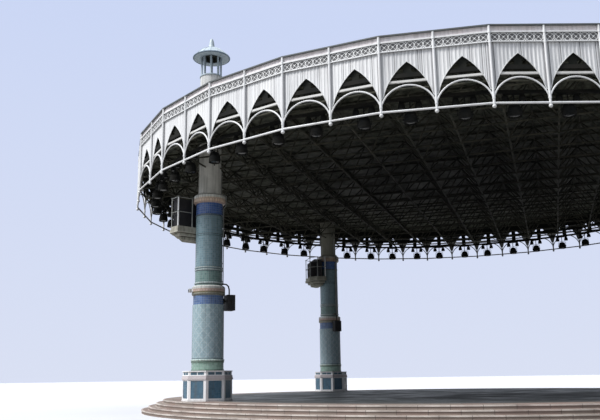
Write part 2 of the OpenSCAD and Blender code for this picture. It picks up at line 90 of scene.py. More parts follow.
class Shape:
    # Collects the vertices and faces of one joined mesh
    def __init__(self):
        self.verts = []
        self.faces = []

    def add(self, verts, faces, place=None):
        first = len(self.verts)
        mirrored = place is not None and place.determinant() < 0
        for v in verts:
            self.verts.append(place @ Vector(v) if place else Vector(v))
        for face in faces:
            self.faces.append(tuple(first + k for k in (reversed(face) if mirrored else face)))

    def box(self, centre, size, place=None, ease=0.0):
        x, y, z = (s / 2 for s in size)
        cx, cy, cz = centre
        if ease <= 0:
            corners = ((-1, -1), (1, -1), (1, 1), (-1, 1))
            verts = [(cx + a * x, cy + b * y, cz + c * z) for c in (-1, 1) for a, b in corners]
            faces = [(3, 2, 1, 0), (4, 5, 6, 7), (0, 1, 5, 4), (1, 2, 6, 5), (2, 3, 7, 6), (3, 0, 4, 7)]
            self.add(verts, faces, place)
            return
        # A box with eased edges: three stacked outlines of eight points
        def outline(level, inset):
            a, b = x - inset, y - inset
            c, d = a - ease, b - ease
            points = ((-c, -b), (c, -b), (a, -d), (a, d), (c, b), (-c, b), (-a, d), (-a, -d))
            return [(cx + px, cy + py, level) for px, py in points]
        rings = [outline(cz - z, ease), outline(cz - z + ease, 0), outline(cz + z - ease, 0),
                 outline(cz + z, ease)]
        verts = [p for ring in rings for p in ring]
        faces = [tuple(range(7, -1, -1)), tuple(range(24, 32))]
        for k in range(3):
            for j in range(8):
                a, b = k * 8 + j, k * 8 + (j + 1) % 8
                faces.append((a, b, b + 8, a + 8))
        self.add(verts, faces, place)

    def tube(self, path, radius, steps=8, closed=False, place=None):
        # Sweeps a round section along a path; radius is one number or one for each point
        points = [Vector(p) for p in path]
        count = len(points)
        radii = radius if isinstance(radius, (list, tuple)) else [radius] * count
        verts = []
        normal = None
        for k, point in enumerate(points):
            before = points[k - 1] if (k or closed) else points[k]
            after = points[(k + 1) % count] if (k < count - 1 or closed) else points[k]
            along = (after - before).normalized()
            if normal is None:
                guess = Vector((0, 0, 1)) if abs(along.z) < 0.9 else Vector((1, 0, 0))
                normal = along.cross(guess).normalized()
            normal = (normal - along * normal.dot(along)).normalized()
            side = along.cross(normal)
            for j in range(steps):
                turn = 2 * math.pi * j / steps
                verts.append(point + (normal * math.cos(turn) + side * math.sin(turn)) * radii[k])
        faces = []
        last = count if closed else count - 1
        for k in range(last):
            for j in range(steps):
                a, b = k * steps + j, k * steps + (j + 1) % steps
                c, d = ((k + 1) % count) * steps + j, ((k + 1) % count) * steps + (j + 1) % steps
                faces.append((a, b, d, c))
        if not closed:
            faces.append(tuple(range(steps - 1, -1, -1)))
            faces.append(tuple((count - 1) * steps + j for j in range(steps)))
        self.add(verts, faces, place)

    def lathe(self, profile, steps=24, place=None, turn=0.0, capped=True):
        # Turns a profile of (radius, height) points round the Z axis
        verts = []
        for r, z in profile:
            for j in range(steps):
                a = turn + 2 * math.pi * j / steps
                verts.append((r * math.cos(a), r * math.sin(a), z))
        faces = []
        for k in range(len(profile) - 1):
            for j in range(steps):
                a, b = k * steps + j, k * steps + (j + 1) % steps
                faces.append((a, b, b + steps, a + steps))
        if capped and profile[0][0] > 1e-6:
            faces.append(tuple(range(steps - 1, -1, -1)))
        if capped and profile[-1][0] > 1e-6:
            faces.append(tuple((len(profile) - 1) * steps + j for j in range(steps)))
        self.add(verts, faces, place)

    def make(self, name, material, slot, sharp=35.0, replaces=()):
        mesh = bpy.data.meshes.new(name)
        mesh.from_pydata([tuple(v) for v in self.verts], [], self.faces)
        mesh.update()
        mesh.shade_smooth()
        mesh.set_sharp_from_angle(angle=math.radians(sharp))
        made = bpy.data.objects.new(name, mesh)
        bpy.context.scene.collection.objects.link(made)
        made.data.materials.append(material)
        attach(made, "root")
        if replaces:
            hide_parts(*replaces)
        print(name, sum(len(f) - 2 for f in self.faces), "triangles")
        return made


def at(x, y, z):
    return Matrix.Translation((x, y, z))


def spin(angle, axis="Z"):
    return Matrix.Rotation(angle, 4, axis)


def sidePlace(index):
    # Frame of one side: X outward, Y along the side, Z up, origin in the side plane
    return spin((index + 0.5) * step) @ at(apothem, 0, 0)


def cornerPlace(index):
    return spin(index * step) @ at(cornerR, 0, 0)


def columnPlace(number):
    # Frame of one column: X outward from the centre of the stage
    turn = math.radians(315 - 90 * number)
    return spin(turn) @ at(columnXY * math.sqrt(2), 0, 0)


def balconyPlace(number):
    # Frame of one balcony: X along it, Y away from the centre of the stage
    toward = -1 if number % 2 else 1
    turned = columnPlace(number) @ spin(toward * (math.pi / 2 - balconyTurn))
    return turned if toward < 0 else turned @ Matrix.Scale(-1, 4, (0, 1, 0))


quarters = ("front_left", "front_right", "back_left", "back_right")
sidePlaces = [sidePlace(index) for index in range(sides)]
cornerPlaces = [cornerPlace(index) for index in range(sides)]
print("frame read")


# Node helpers
class Value:
    # The output of a node: sums and comparisons of Values add Math nodes
    def __init__(self, tree, socket):
        self.tree = tree
        self.socket = socket

    def __add__(self, other):
        return calc("ADD", self, other)

    def __sub__(self, other):
        return calc("SUBTRACT", self, other)

    def __rsub__(self, other):
        return calc("SUBTRACT", other, self)

    def __mul__(self, other):
        return calc("MULTIPLY", self, other)

    def __truediv__(self, other):
        return calc("DIVIDE", self, other)

    def __gt__(self, other):
        return calc("GREATER_THAN", self, other)

    def __lt__(self, other):
        return calc("LESS_THAN", self, other)

    def __abs__(self):
        return calc("ABSOLUTE", self)


def plug(value, socket):
    # Joins a Value to an input, or sets a plain number or colour on it
    if isinstance(value, Value):
        value.tree.links.new(value.socket, socket)
    else:
        socket.default_value = value


def read(tree, kind, output, inputs=None, **settings):
    # Adds a node and gives one of its outputs
    made = tree.nodes.new(kind)
    for key, value in settings.items():
        setattr(made, key, value)
    for key, value in (inputs or {}).items():
        plug(value, made.inputs[key])
    return Value(tree, made.outputs[output])


def calc(operation, a, b=0.0, clamp=False):
    tree = a.tree if isinstance(a, Value) else b.tree
    return read(tree, "ShaderNodeMath", 0, {0: a, 1: b}, operation=operation, use_clamp=clamp)


def remap(value, low, high, outLow=0.0, outHigh=1.0, smooth=False):
    return read(value.tree, "ShaderNodeMapRange", 0, {0: value, 1: low, 2: high, 3: outLow, 4: outHigh},
                interpolation_type="SMOOTHSTEP" if smooth else "LINEAR")


def mix(mask, a, b):
    # Blends two colours
    a, b = (shade if isinstance(shade, Value) else (*shade, 1.0) for shade in (a, b))
    return read(mask.tree, "ShaderNodeMix", 2, {0: mask, 6: a, 7: b}, data_type="RGBA")


def blend(mask, a, b):
    # Blends two numbers
    return read(mask.tree, "ShaderNodeMix", 0, {0: mask, 2: a, 3: b}, data_type="FLOAT")


def band(value, low, high):
    return (value > low) * (value < high)


def position(tree):
    return read(tree, "ShaderNodeTexCoord", "Object")


def split(vector):
    made = vector.tree.nodes.new("ShaderNodeSeparateXYZ")
    plug(vector, made.inputs[0])
    return [Value(vector.tree, socket) for socket in made.outputs]


def xyz(tree):
    return split(position(tree))


def join(x, y):
    return read(x.tree, "ShaderNodeCombineXYZ", 0, {0: x, 1: y})


def distance(x, y):
    return read(x.tree, "ShaderNodeVectorMath", "Value", {0: join(x, y)}, operation="LENGTH")


def noise(place, scale, detail, roughness):
    return read(place.tree, "ShaderNodeTexNoise", 0,
                {"Vector": place, "Scale": scale, "Detail": detail, "Roughness": roughness})


def dots(tree, scale, randomness=1.0):
    # Distance from the nearest of many scattered points
    return read(tree, "ShaderNodeTexVoronoi", "Distance",
                {"Vector": position(tree), "Scale": scale, "Randomness": randomness})


def drawn(number):
    # A random value for each whole number
    return read(number.tree, "ShaderNodeTexWhiteNoise", "Value", {"W": number}, noise_dimensions="1D")


groups = {}


def newGroup(name, **inputs):
    tree = bpy.data.node_groups.new(name, "ShaderNodeTree")
    for label, value in inputs.items():
        made = tree.interface.new_socket(label, in_out="INPUT", socket_type="NodeSocketFloat")
        made.default_value = value
    groups[name] = tree
    entry = tree.nodes.new("NodeGroupInput")
    return tree, {label: Value(tree, entry.outputs[label]) for label in inputs}


def putOut(tree, **outputs):
    for label in outputs:
        tree.interface.new_socket(label, in_out="OUTPUT", socket_type="NodeSocketFloat")
    end = tree.nodes.new("NodeGroupOutput")
    for label, value in outputs.items():
        plug(value, end.inputs[label])


def use(tree, name, **inputs):
    made = tree.nodes.new("ShaderNodeGroup")
    made.node_tree = groups[name]
    for key, value in inputs.items():
        plug(value, made.inputs[key])
    return {socket.name: Value(tree, socket) for socket in made.outputs}


def makeWeather():
    # Masks for blotches, downward streaks and fine grain
    tree, given = newGroup("weather", Scale=1.0, Streaks=1.0)
    place = position(tree)
    pulled = read(tree, "ShaderNodeVectorMath", 0, {0: place, 1: (7.0, 7.0, 0.35)}, operation="MULTIPLY")
    blotch = noise(place, given["Scale"], 7.0, 0.62)
    streak = noise(pulled, given["Streaks"], 5.0, 0.6)
    putOut(tree, Blotch=remap(blotch, 0.36, 0.66, smooth=True), Streak=remap(streak, 0.42, 0.7, smooth=True),
           Grain=noise(place, 55.0, 3.0, 0.7))


def makeRust():
    # Small rough spots, more of them where Amount is higher
    tree, given = newGroup("rust", Amount=0.25)
    spot = noise(position(tree), 9.0, 8.0, 0.75)
    putOut(tree, Spots=remap(spot, 0.68 - given["Amount"] * 0.1, 0.74, smooth=True))


def makeShelter():
    # Rim: painted shade, darkest over the middle of the stage, giving way to painted light towards the rim
    # Back shade: 1 on the two columns at the back, where painted shade darkens them under the canopy
    tree, given = newGroup("canopyShade", Near=4.0, Far=16.8)
    x, y = xyz(tree)[:2]
    putOut(tree, Rim=remap(distance(x, y), given["Near"], given["Far"]), Back=y > 0.0)


def makeFacing():
    # Up: 1 on faces that look up
    # Out: above 0 on faces that look away from the middle, more so towards the rim
    tree, given = newGroup("facing", Steep=0.5)
    normal = read(tree, "ShaderNodeNewGeometry", "Normal")
    out = read(tree, "ShaderNodeVectorMath", "Value", {0: normal, 1: position(tree)}, operation="DOT_PRODUCT")
    putOut(tree, Up=split(normal)[2] > given["Steep"], Out=out)


def cellMasks(across, up, wide, high, joint):
    # Shared end of the tile groups: a random value and a joint mask for each cell
    cell = join(calc("FLOOR", across), calc("FLOOR", up))
    chance = read(cell.tree, "ShaderNodeTexWhiteNoise", "Value", {"Vector": cell}, noise_dimensions="2D")
    edge = calc("MINIMUM", calc("PINGPONG", across, 0.5) * wide, calc("PINGPONG", up, 0.5) * high)
    return {"Random": chance, "Joint": remap(edge, joint * 0.5, joint * 1.1, 1.0, 0.0)}


def makeRoundTiles():
    # Tiles round each of the four columns, a whole number to a turn
    tree, given = newGroup("roundTiles", Count=44.0, High=0.1, Radius=0.7, Joint=0.006, Shift=0.0)
    x, y, z = xyz(tree)
    turn = calc("ARCTAN2", abs(y) - columnXY, abs(x) - columnXY) / (2 * math.pi) + 0.5
    up = z / given["High"]
    across = turn * given["Count"] + calc("MODULO", calc("FLOOR", up), 2.0) * given["Shift"]
    wide = given["Radius"] * (2 * math.pi) / given["Count"]
    putOut(tree, Turn=turn, Height=z, **cellMasks(across, up, wide, given["High"], given["Joint"]))


def makePaving():
    # Rings of stones round the centre of the stage
    tree, given = newGroup("paving", Depth=0.6, Length=0.9, Joint=0.01, Start=0.0)
    x, y, z = xyz(tree)
    radius = distance(x, y)
    up = (radius - given["Start"]) / given["Depth"]
    ring = calc("FLOOR", up)
    middle = (ring + 0.5) * given["Depth"] + given["Start"]
    count = calc("FLOOR", middle * (2 * math.pi) / given["Length"])
    across = calc("ARCTAN2", y, x) / (2 * math.pi) * count + ring * 0.37
    side = calc("PINGPONG", across, 0.5) * given["Length"] < given["Joint"] * 0.6
    putOut(tree, Side=side, Radius=radius, Height=z,
           **cellMasks(across, up, given["Length"], given["Depth"], given["Joint"]))


for makeGroup in (makeWeather, makeRust, makeShelter, makeFacing, makeRoundTiles, makePaving):
    makeGroup()


rustBrown = (0.16, 0.075, 0.035)


class Finish:
    # A material with its Principled shader at hand
    def __init__(self, name, roughness=0.5, metallic=0.0, coat=0.0, specular=0.5):
        self.material = bpy.data.materials.new(name)
        self.material.use_nodes = True
        self.tree = self.material.node_tree
        self.inputs = self.tree.nodes["Principled BSDF"].inputs
        plain = {"Roughness": roughness, "Metallic": metallic, "Coat Weight": coat, "Coat Roughness": 0.12,
                 "Specular IOR Level": specular}
        for key, value in plain.items():
            self.inputs[key].default_value = value

    def wear(self, scale, streaks):
        return use(self.tree, "weather", Scale=scale, Streaks=streaks)

    def colour(self, value):
        plug(value, self.inputs["Base Color"])

    def rough(self, mask, low, high):
        plug(remap(mask, 0.0, 1.0, low, high), self.inputs["Roughness"])

    def bump(self, height, strength=0.25, distance=0.0015):
        settings = {"Height": height, "Strength": strength, "Distance": distance}
        plug(read(self.tree, "ShaderNodeBump", 0, settings), self.inputs["Normal"])


def weathered(name, base, dirt, amount, streaks, rust=0.0, roughness=0.45, scale=0.8, specular=0.5):
    # Painted metal that has blotches, streaks and a little rust
    made = Finish(name, roughness, specular=specular)
    mask = made.wear(scale, 1.0)
    dirtMask = calc("ADD", mask["Blotch"] * amount, mask["Streak"] * streaks, clamp=True)
    colour = mix(dirtMask, base, dirt)
    if rust > 0:
        colour = mix(use(made.tree, "rust", Amount=rust)["Spots"] * 0.8, colour, rustBrown)
    made.colour(colour)
    made.rough(dirtMask, roughness, min(0.95, roughness + 0.3))
    made.bump(mask["Grain"])
    return made.material


slabSizes = {"depth": 0.5, "long": 1.05, "joint": 0.014, "lap": 0.013, "border": 0.06, "nosing": 0.07,
             "lip": 0.0235}


def stoneFinish():
    # Pinkish stone: rings of slabs on the border, one slab deep on the steps, worn pale nosings
    made = Finish("pinkStone", 0.8)
    tree = made.tree
    depth = slabSizes["depth"]
    stones = use(tree, "paving", Depth=depth, Length=slabSizes["long"], Joint=slabSizes["joint"],
                 Start=stageR - 20 * depth + slabSizes["lap"])
    mask = made.wear(0.7, 1.0)
    flat = use(tree, "facing")["Up"]
    whole = (stones["Radius"] < stageR - slabSizes["border"]) * flat
    joint = calc("MAXIMUM", whole * stones["Joint"], stones["Side"])
    past = (stones["Radius"] - stageR) / tread
    toEdge = (calc("CEIL", past - 0.002) - past) * tread
    onTread = (toEdge < slabSizes["nosing"]) * (past > -1.0)
    level = calc("PINGPONG", (stones["Height"] + slabSizes["lip"] - 0.001) / riser, 0.5)
    nosing = blend(flat, level * riser < slabSizes["lip"], onTread)
    colour = mix(stones["Random"], (0.245, 0.17, 0.145), (0.275, 0.24, 0.205))
    colour = mix(mask["Blotch"] * 0.5, colour, (0.18, 0.145, 0.125))
    foot = remap(level, 0.14, 0.46, 0.0, 0.75)
    colour = mix(foot * (1.0 - flat), colour, (0.2, 0.155, 0.13))
    worn = mix(stones["Random"], (0.58, 0.52, 0.475), (0.72, 0.67, 0.62))
    chipped = remap(mask["Blotch"], 0.1, 0.9, 0.9, 0.35)
    colour = mix(nosing * chipped, colour, worn)
    colour = mix(remap(dots(tree, 70.0), 0.15, 0.3, 0.3, 0.0), colour, (0.5, 0.45, 0.41))
    made.colour(mix(joint, colour, (0.11, 0.09, 0.08)))
    made.bump(mask["Grain"] * 0.3 - joint, 0.6, 0.006)
    return made.material


def darkFloorFinish():
    made = Finish("darkFloor", 0.5)
    stones = use(made.tree, "paving", Depth=0.6, Length=0.6, Joint=0.008, Start=0.0)
    mask = made.wear(0.5, 1.0)
    colour = mix(stones["Random"], (0.017, 0.023, 0.025), (0.031, 0.038, 0.04))
    colour = mix(mask["Blotch"] * 0.6, colour, (0.042, 0.045, 0.045))
    scuff = remap(stones["Radius"], 11.5, 13.9, 0.0, 0.5)
    colour = mix(scuff * mask["Grain"], colour, (0.17, 0.155, 0.14))
    made.colour(mix(stones["Joint"], colour, (0.018, 0.018, 0.018)))
    made.rough(mask["Blotch"], 0.32, 0.7)
    made.bump(mask["Grain"] * 0.2 - stones["Joint"], 0.5, 0.004)
    return made.material


def plasterFinish():
    made = Finish("whitePlaster", 0.65)
    mask = made.wear(1.6, 1.4)
    z = xyz(made.tree)[2]
    foot = remap(z, floorZ, floorZ + 0.12, 0.45, 0.0)
    dirt = calc("ADD", mask["Streak"] * 0.22, foot, clamp=True)
    moulding = band(z, floorZ + 0.93, floorZ + 1.1)
    white = mix(moulding, (0.84, 0.84, 0.85), (0.55, 0.5, 0.51))
    colour = mix(dirt, white, (0.38, 0.36, 0.34))
    made.colour(mix(mask["Blotch"] * 0.15, colour, (0.46, 0.46, 0.46)))
    made.bump(mask["Grain"], 0.5, 0.003)
    return made.material


def glazedFinish(name, dark, light, count, high, radius, shift=0.0, jointColour=(0.35, 0.36, 0.34)):
    made = Finish(name, 0.22, coat=0.35)
    tiles = use(made.tree, "roundTiles", Count=count, High=high, Radius=radius, Joint=0.006, Shift=shift)
    mask = made.wear(1.4, 1.2)
    colour = mix(tiles["Random"], dark, light)
    colour = mix(tiles["Joint"], colour, jointColour)
    made.colour(mix(mask["Streak"] * 0.5, colour, (0.1, 0.1, 0.09)))
    made.rough(calc("MAXIMUM", tiles["Joint"], mask["Blotch"] * 0.5), 0.2, 0.8)
    made.bump(tiles["Random"] * 0.25 - tiles["Joint"], 0.5, 0.003)
    return made.material


shaftZones = {
    "greener": 6.41,
    "diamonds": 5.3,
    "blue": (4.86, 5.3),
    "navy": (9.06, 9.6),
    "plinthRim": 0.36,
    "head": 9.8,
    "drum": 0.45,
    "line": 0.022,
    "lines": (2.46, 5.80, 5.895, 6.41, 6.50, 6.60, 8.05, 8.135, 9.0),
}


def shaftFinish():
    # Tiled shaft: teal fields, blue bands, a pale diamond pattern below, plain concrete above
    made = Finish("shaftTiles", 0.25, coat=0.3)
    tree = made.tree
    tiles = use(tree, "roundTiles", Count=44.0, High=0.103, Radius=0.7, Joint=0.006, Shift=0.0)
    mask = made.wear(1.2, 1.3)
    z = tiles["Height"]
    chance = tiles["Random"]
    upper = mix(chance, (0.14, 0.235, 0.28), (0.2, 0.31, 0.355))
    greener = mix(chance, (0.115, 0.205, 0.195), (0.18, 0.29, 0.27))
    upper = mix(z < shaftZones["greener"], upper, greener)
    turnSteps = tiles["Turn"] * 11.0
    upSteps = z * 2.3
    first = calc("PINGPONG", turnSteps + upSteps, 0.5)
    second = calc("PINGPONG", turnSteps - upSteps, 0.5)
    diamond = remap(calc("MINIMUM", first, second), 0.05, 0.11, 1.0, 0.0)
    lower = mix(chance, (0.27, 0.385, 0.435), (0.35, 0.475, 0.525))
    lower = mix(diamond * 0.55, lower, (0.5, 0.6, 0.63))
    colour = mix(z < shaftZones["diamonds"], upper, lower)
    fields = (
        (shaftZones["blue"], (0.067, 0.13, 0.3), (0.115, 0.195, 0.4)),
        (shaftZones["navy"], (0.045, 0.11, 0.33), (0.082, 0.17, 0.47)),
        ((0.0, plinthTopZ + shaftZones["plinthRim"]), (0.2, 0.325, 0.265), (0.28, 0.41, 0.34)),
    )
    for limits, dark, light in fields:
        colour = mix(band(z, *limits), colour, mix(chance, dark, light))
    colour = mix(tiles["Joint"] * 0.8, colour, (0.27, 0.31, 0.31))
    for line in shaftZones["lines"]:
        colour = mix(band(z, line - shaftZones["line"], line), colour, (0.045, 0.06, 0.065))
    colour = mix(mask["Streak"] * 0.3, colour, (0.09, 0.1, 0.1))
    concrete = mix(mask["Blotch"], (0.78, 0.775, 0.72), (0.6, 0.595, 0.545))
    concrete = mix(mask["Streak"] * 0.55, concrete, (0.25, 0.245, 0.215))
    # painted shade darkens the heads of the two back columns
    concrete = mix(use(tree, "canopyShade")["Back"] * 0.8, concrete, (0.13, 0.13, 0.095))
    drum = mix(mask["Streak"], (0.66, 0.67, 0.66), (0.4, 0.4, 0.38))
    bare = mix(z > deckTopZ - shaftZones["drum"], concrete, drum)
    head = z > shaftZones["head"]
    made.colour(mix(head, colour, bare))
    made.rough(calc("MAXIMUM", tiles["Joint"], head), 0.24, 0.85)
    boards = calc("PINGPONG", z * 3.4, 0.5)
    rawHeight = mask["Grain"] + remap(boards, 0.0, 0.03, -0.6, 0.0)
    made.bump(blend(head, chance * 0.25 - tiles["Joint"], rawHeight), 0.5, 0.003)
    return made.material


collarFeet = (5.275, 9.59)


def collarFinish():
    # Cream above, tan in the middle and an olive line below on the wide collars, pale rings elsewhere
    made = Finish("collarTiles", 0.3, coat=0.25)
    tree = made.tree
    tiles = use(tree, "roundTiles", Count=36.0, High=0.2125, Radius=0.76, Joint=0.01, Shift=0.5)
    mask = made.wear(1.8, 1.4)
    z = tiles["Height"]
    chance = tiles["Random"]
    middle, upper = collarFeet
    darkGreen = ((0.1, 0.17, 0.135), (0.14, 0.22, 0.18))
    pink = ((0.47, 0.34, 0.285), (0.56, 0.42, 0.36))
    zones = (
        (plinthTopZ - 0.01, plinthTopZ + 0.07, darkGreen),
        (plinthTopZ + 0.34, plinthTopZ + 0.44, darkGreen),
        (plinthTopZ + 0.44, plinthTopZ + 0.56, ((0.46, 0.58, 0.53), (0.58, 0.69, 0.64))),
        (middle - 0.01, middle + 0.11, ((0.24, 0.245, 0.19), (0.31, 0.31, 0.25))),
        (middle + 0.11, middle + 0.175, ((0.155, 0.13, 0.065), (0.155, 0.13, 0.065))),
        (middle + 0.175, middle + 0.3, pink),
        (middle + 0.3, middle + 0.46, ((0.5, 0.51, 0.49), (0.6, 0.61, 0.585))),
        (upper - 0.01, upper + 0.06, pink),
        (upper + 0.06, upper + 0.24, ((0.74, 0.56, 0.42), (0.84, 0.67, 0.52))),
        (upper + 0.24, upper + 0.46, ((0.68, 0.7, 0.64), (0.8, 0.8, 0.74))),
        (9.0, 9.1, ((0.05, 0.09, 0.16), (0.09, 0.14, 0.2))),
    )
    colour = mix(chance, (0.32, 0.4, 0.41), (0.42, 0.5, 0.5))
    for low, high, shades in zones:
        colour = mix(band(z, low, high), colour, mix(chance, *shades))
    colour = mix(tiles["Joint"] * 0.6, colour, (0.16, 0.15, 0.13))
    colour = mix(mask["Streak"] * 0.4, colour, (0.14, 0.13, 0.12))
    # painted shade darkens the top collars of the two back columns
    backShade = use(tree, "canopyShade")["Back"] * (z > upper - 0.02)
    made.colour(mix(backShade * 0.6, colour, (0.15, 0.11, 0.085)))
    made.rough(mask["Blotch"], 0.25, 0.6)
    made.bump(mask["Grain"] * 0.3 - tiles["Joint"], 0.4, 0.004)
    return made.material


def concreteFinish():
    # Grey concrete of the balconies: a painted shadow under each edge of the tiers, a painted highlight just
    # above it, and painted shade on the two back balconies
    made = Finish("greyConcrete", 0.85)
    tree = made.tree
    mask = made.wear(1.5, 1.2)
    z = xyz(tree)[2]
    colour = mix(mask["Blotch"], (0.46, 0.445, 0.375), (0.33, 0.32, 0.265))
    colour = mix(mask["Streak"] * 0.7, colour, (0.14, 0.13, 0.105))
    # painted shadow under each tier edge, painted highlight just above it
    for edge in (8.06, 8.22):
        colour = mix(band(z, edge - 0.05, edge) * 0.7, colour, (0.075, 0.072, 0.058))
        colour = mix(band(z, edge, edge + 0.03) * 0.5, colour, (0.58, 0.565, 0.5))
    # painted shade darkens the two back balconies
    made.colour(mix(use(tree, "canopyShade")["Back"] * 0.45, colour, (0.13, 0.145, 0.12)))
    made.bump(mask["Grain"] + remap(dots(tree, 26.0), 0.0, 0.18, -0.5, 0.0), 0.6, 0.004)
    return made.material


def caseFinish():
    made = Finish("blackCase", 0.55)
    mask = made.wear(2.0, 1.5)
    made.colour(mix(mask["Blotch"] * 0.5, (0.014, 0.014, 0.017), (0.045, 0.043, 0.045)))
    made.bump(dots(made.tree, 160.0), 0.3, 0.001)
    return made.material


def parapetFinish():
    # Sheet behind the frieze: dark painted shade between the two rails, pinkish grey above
    made = Finish("parapetSheet", 0.6)
    mask = made.wear(0.9, 1.2)
    above = xyz(made.tree)[2] > friezeTopZ
    sheet = mix(mask["Blotch"] * 0.6, (0.88, 0.835, 0.85), (0.86, 0.76, 0.735))
    # painted shade between the two rails of the frieze
    colour = mix(above, (0.15, 0.15, 0.155), sheet)
    made.colour(mix(mask["Streak"] * 0.3, colour, (0.2, 0.19, 0.19)))
    made.rough(mask["Blotch"], 0.5, 0.8)
    made.bump(mask["Grain"])
    return made.material


def roofFinish():
    # Dull grey sheet above; the underside dark, partly soot and partly painted shade, with painted light
    # towards the rim
    made = Finish("roofSheet", 0.6, specular=0.15)
    tree = made.tree
    mask = made.wear(0.5, 1.0)
    top = mix(mask["Blotch"], (0.33, 0.34, 0.34), (0.2, 0.19, 0.18))
    rust = noise(position(tree), 5.0, 8.0, 0.75)
    top = mix(remap(rust, 0.62, 0.7, 0.0, 0.7, smooth=True), top, (0.17, 0.085, 0.045))
    shade = remap(noise(position(tree), 2.6, 5.0, 0.7), 0.38, 0.62)
    # underside: painted shade darkest over the middle, painted light towards the rim, with blotches
    middle = mix(shade, (0.007, 0.008, 0.008), (0.036, 0.037, 0.034))
    outer = mix(shade, (0.032, 0.036, 0.026), (0.16, 0.17, 0.13))
    under = mix(use(tree, "canopyShade")["Rim"], middle, outer)
    made.colour(mix(use(tree, "facing")["Up"], under, top))
    made.rough(mask["Blotch"], 0.5, 0.85)
    made.bump(mask["Grain"], 0.3, 0.002)
    return made.material


def steelFinish():
    # Dark painted steel, blotchy and rusty, with painted light making it lighter towards the rim
    made = Finish("darkSteel", 0.7, specular=0.15)
    tree = made.tree
    mask = made.wear(1.7, 1.0)
    dirt = calc("ADD", mask["Blotch"] * 0.9, mask["Streak"] * 0.3, clamp=True)
    # painted shade over the middle, painted light towards the rim
    middle = mix(dirt, (0.009, 0.01, 0.01), (0.03, 0.029, 0.026))
    outer = mix(dirt, (0.024, 0.027, 0.02), (0.095, 0.092, 0.07))
    colour = mix(use(tree, "canopyShade")["Rim"], middle, outer)
    made.colour(mix(use(tree, "rust", Amount=0.3)["Spots"] * 0.7, colour, (0.1, 0.055, 0.03)))
    made.bump(mask["Grain"], 0.3, 0.002)
    return made.material


def railFinish():
    # White bar behind the pointed openings, dark steel on the rings below and above it
    made = Finish("innerRails", 0.5, specular=0.2)
    mask = made.wear(0.9, 1.0)
    white = mix(mask["Blotch"] * 0.35, (0.7, 0.7, 0.68), (0.46, 0.44, 0.41))
    steel = mix(mask["Blotch"], (0.009, 0.01, 0.009), (0.018, 0.017, 0.014))
    bar = band(xyz(made.tree)[2], barZ - 0.06, barZ + 0.06)
    made.colour(mix(bar, steel, white))
    made.rough(bar, 0.85, 0.5)
    made.bump(mask["Grain"])
    return made.material


def grilleFinish():
    made = Finish("speakerGrille", 0.5, metallic=0.6)
    hole = remap(dots(made.tree, 90.0, randomness=0.0), 0.28, 0.36, 1.0, 0.0)
    made.colour(mix(hole, (0.035, 0.036, 0.04), (0.004, 0.004, 0.004)))
    made.bump(hole * -1.0, 0.6, 0.002)
    return made.material


def sheetFinish():
    # White ribbed sheet: grooves darker, partly dirt and partly painted shade; a painted shadow beside the
    # posts; painted shade on the side that faces the stage; streaks run down
    made = Finish("whiteSheet", 0.5)
    tree = made.tree
    mask = made.wear(0.9, 1.1)
    x, y = xyz(tree)[:2]
    turn = calc("ARCTAN2", y, x) / step
    offset = calc("FRACT", turn + 28.0) - 0.5
    along = calc("TANGENT", offset * step) * (apothem + sheetPlane)
    ribs = along / (bay / sheetSizes["ribsPerBay"]) + 100.0
    place = calc("FRACT", ribs)
    groove = remap(place, 0.3, 0.44, smooth=True) * remap(place, 1.0, 0.86, smooth=True)
    toPost = calc("PINGPONG", along / bay, 0.5) * bay
    beside = remap(toPost, 0.05, 0.16, 0.5, 0.0, smooth=True)
    panel = drawn(calc("FLOOR", (turn + 28.0) / 0.125))
    lap = drawn(calc("FLOOR", ribs) + calc("FLOOR", turn + 28.0) * 200.0)
    dirt = calc("ADD", mask["Blotch"] * 0.12, mask["Streak"] * 0.42, clamp=True)
    colour = mix(panel, (0.8, 0.81, 0.815), (0.9, 0.905, 0.9))
    colour = mix(dirt, colour, (0.42, 0.42, 0.43))
    # grooves darker: partly dirt, partly painted shade of the ribs
    colour = mix(groove * 0.24, colour, (0.36, 0.37, 0.39))
    colour = mix((lap > 0.78) * (place > 0.8) * 0.85, colour, (0.1, 0.1, 0.11))
    # painted shadow on the sheet beside each post
    colour = mix(beside, colour, (0.24, 0.24, 0.25))
    # painted shade on the side that faces the stage
    made.colour(mix(use(tree, "facing")["Out"] < 0.0, colour, (0.2, 0.205, 0.2)))
    made.rough(dirt, 0.45, 0.8)
    made.bump(mask["Grain"])
    return made.material


def hoodFinish():
    # Pale blue paint, with painted shade darkening the rolled brim
    made = Finish("hoodPaint", 0.45)
    mask = made.wear(1.5, 1.0)
    x, y = xyz(made.tree)[:2]
    radius = distance(abs(x) - columnXY, abs(y) - columnXY)
    # painted shade darkens the outer edge of the brim
    rim = remap(radius, 0.9 * hoodBrim, 0.965 * hoodBrim, 0.0, 0.8, smooth=True)
    colour = mix(mask["Blotch"] * 0.35, (0.52, 0.6, 0.64), (0.28, 0.34, 0.38))
    colour = mix(mask["Streak"] * 0.35, colour, (0.22, 0.28, 0.32))
    made.colour(mix(rim, colour, (0.075, 0.13, 0.19)))
    made.bump(mask["Grain"])
    return made.material


def tubeFinish():
    # White paint, with painted shade darkening the side that faces the stage
    made = Finish("fasciaPaint", 0.45)
    tree = made.tree
    mask = made.wear(0.8, 1.0)
    dirt = calc("ADD", mask["Blotch"] * 0.2, mask["Streak"] * 0.22, clamp=True)
    colour = mix(dirt, (0.82, 0.83, 0.84), (0.44, 0.43, 0.41))
    colour = mix(use(tree, "rust", Amount=0.25)["Spots"] * 0.8, colour, rustBrown)
    # painted shade on the side of each tube that faces the stage
    inner = remap(use(tree, "facing")["Out"], -15.5, -9.0, 0.9, 0.0, smooth=True)
    made.colour(mix(inner, colour, (0.085, 0.09, 0.095)))
    made.rough(dirt, 0.45, 0.75)
    made.bump(mask["Grain"])
    return made.material


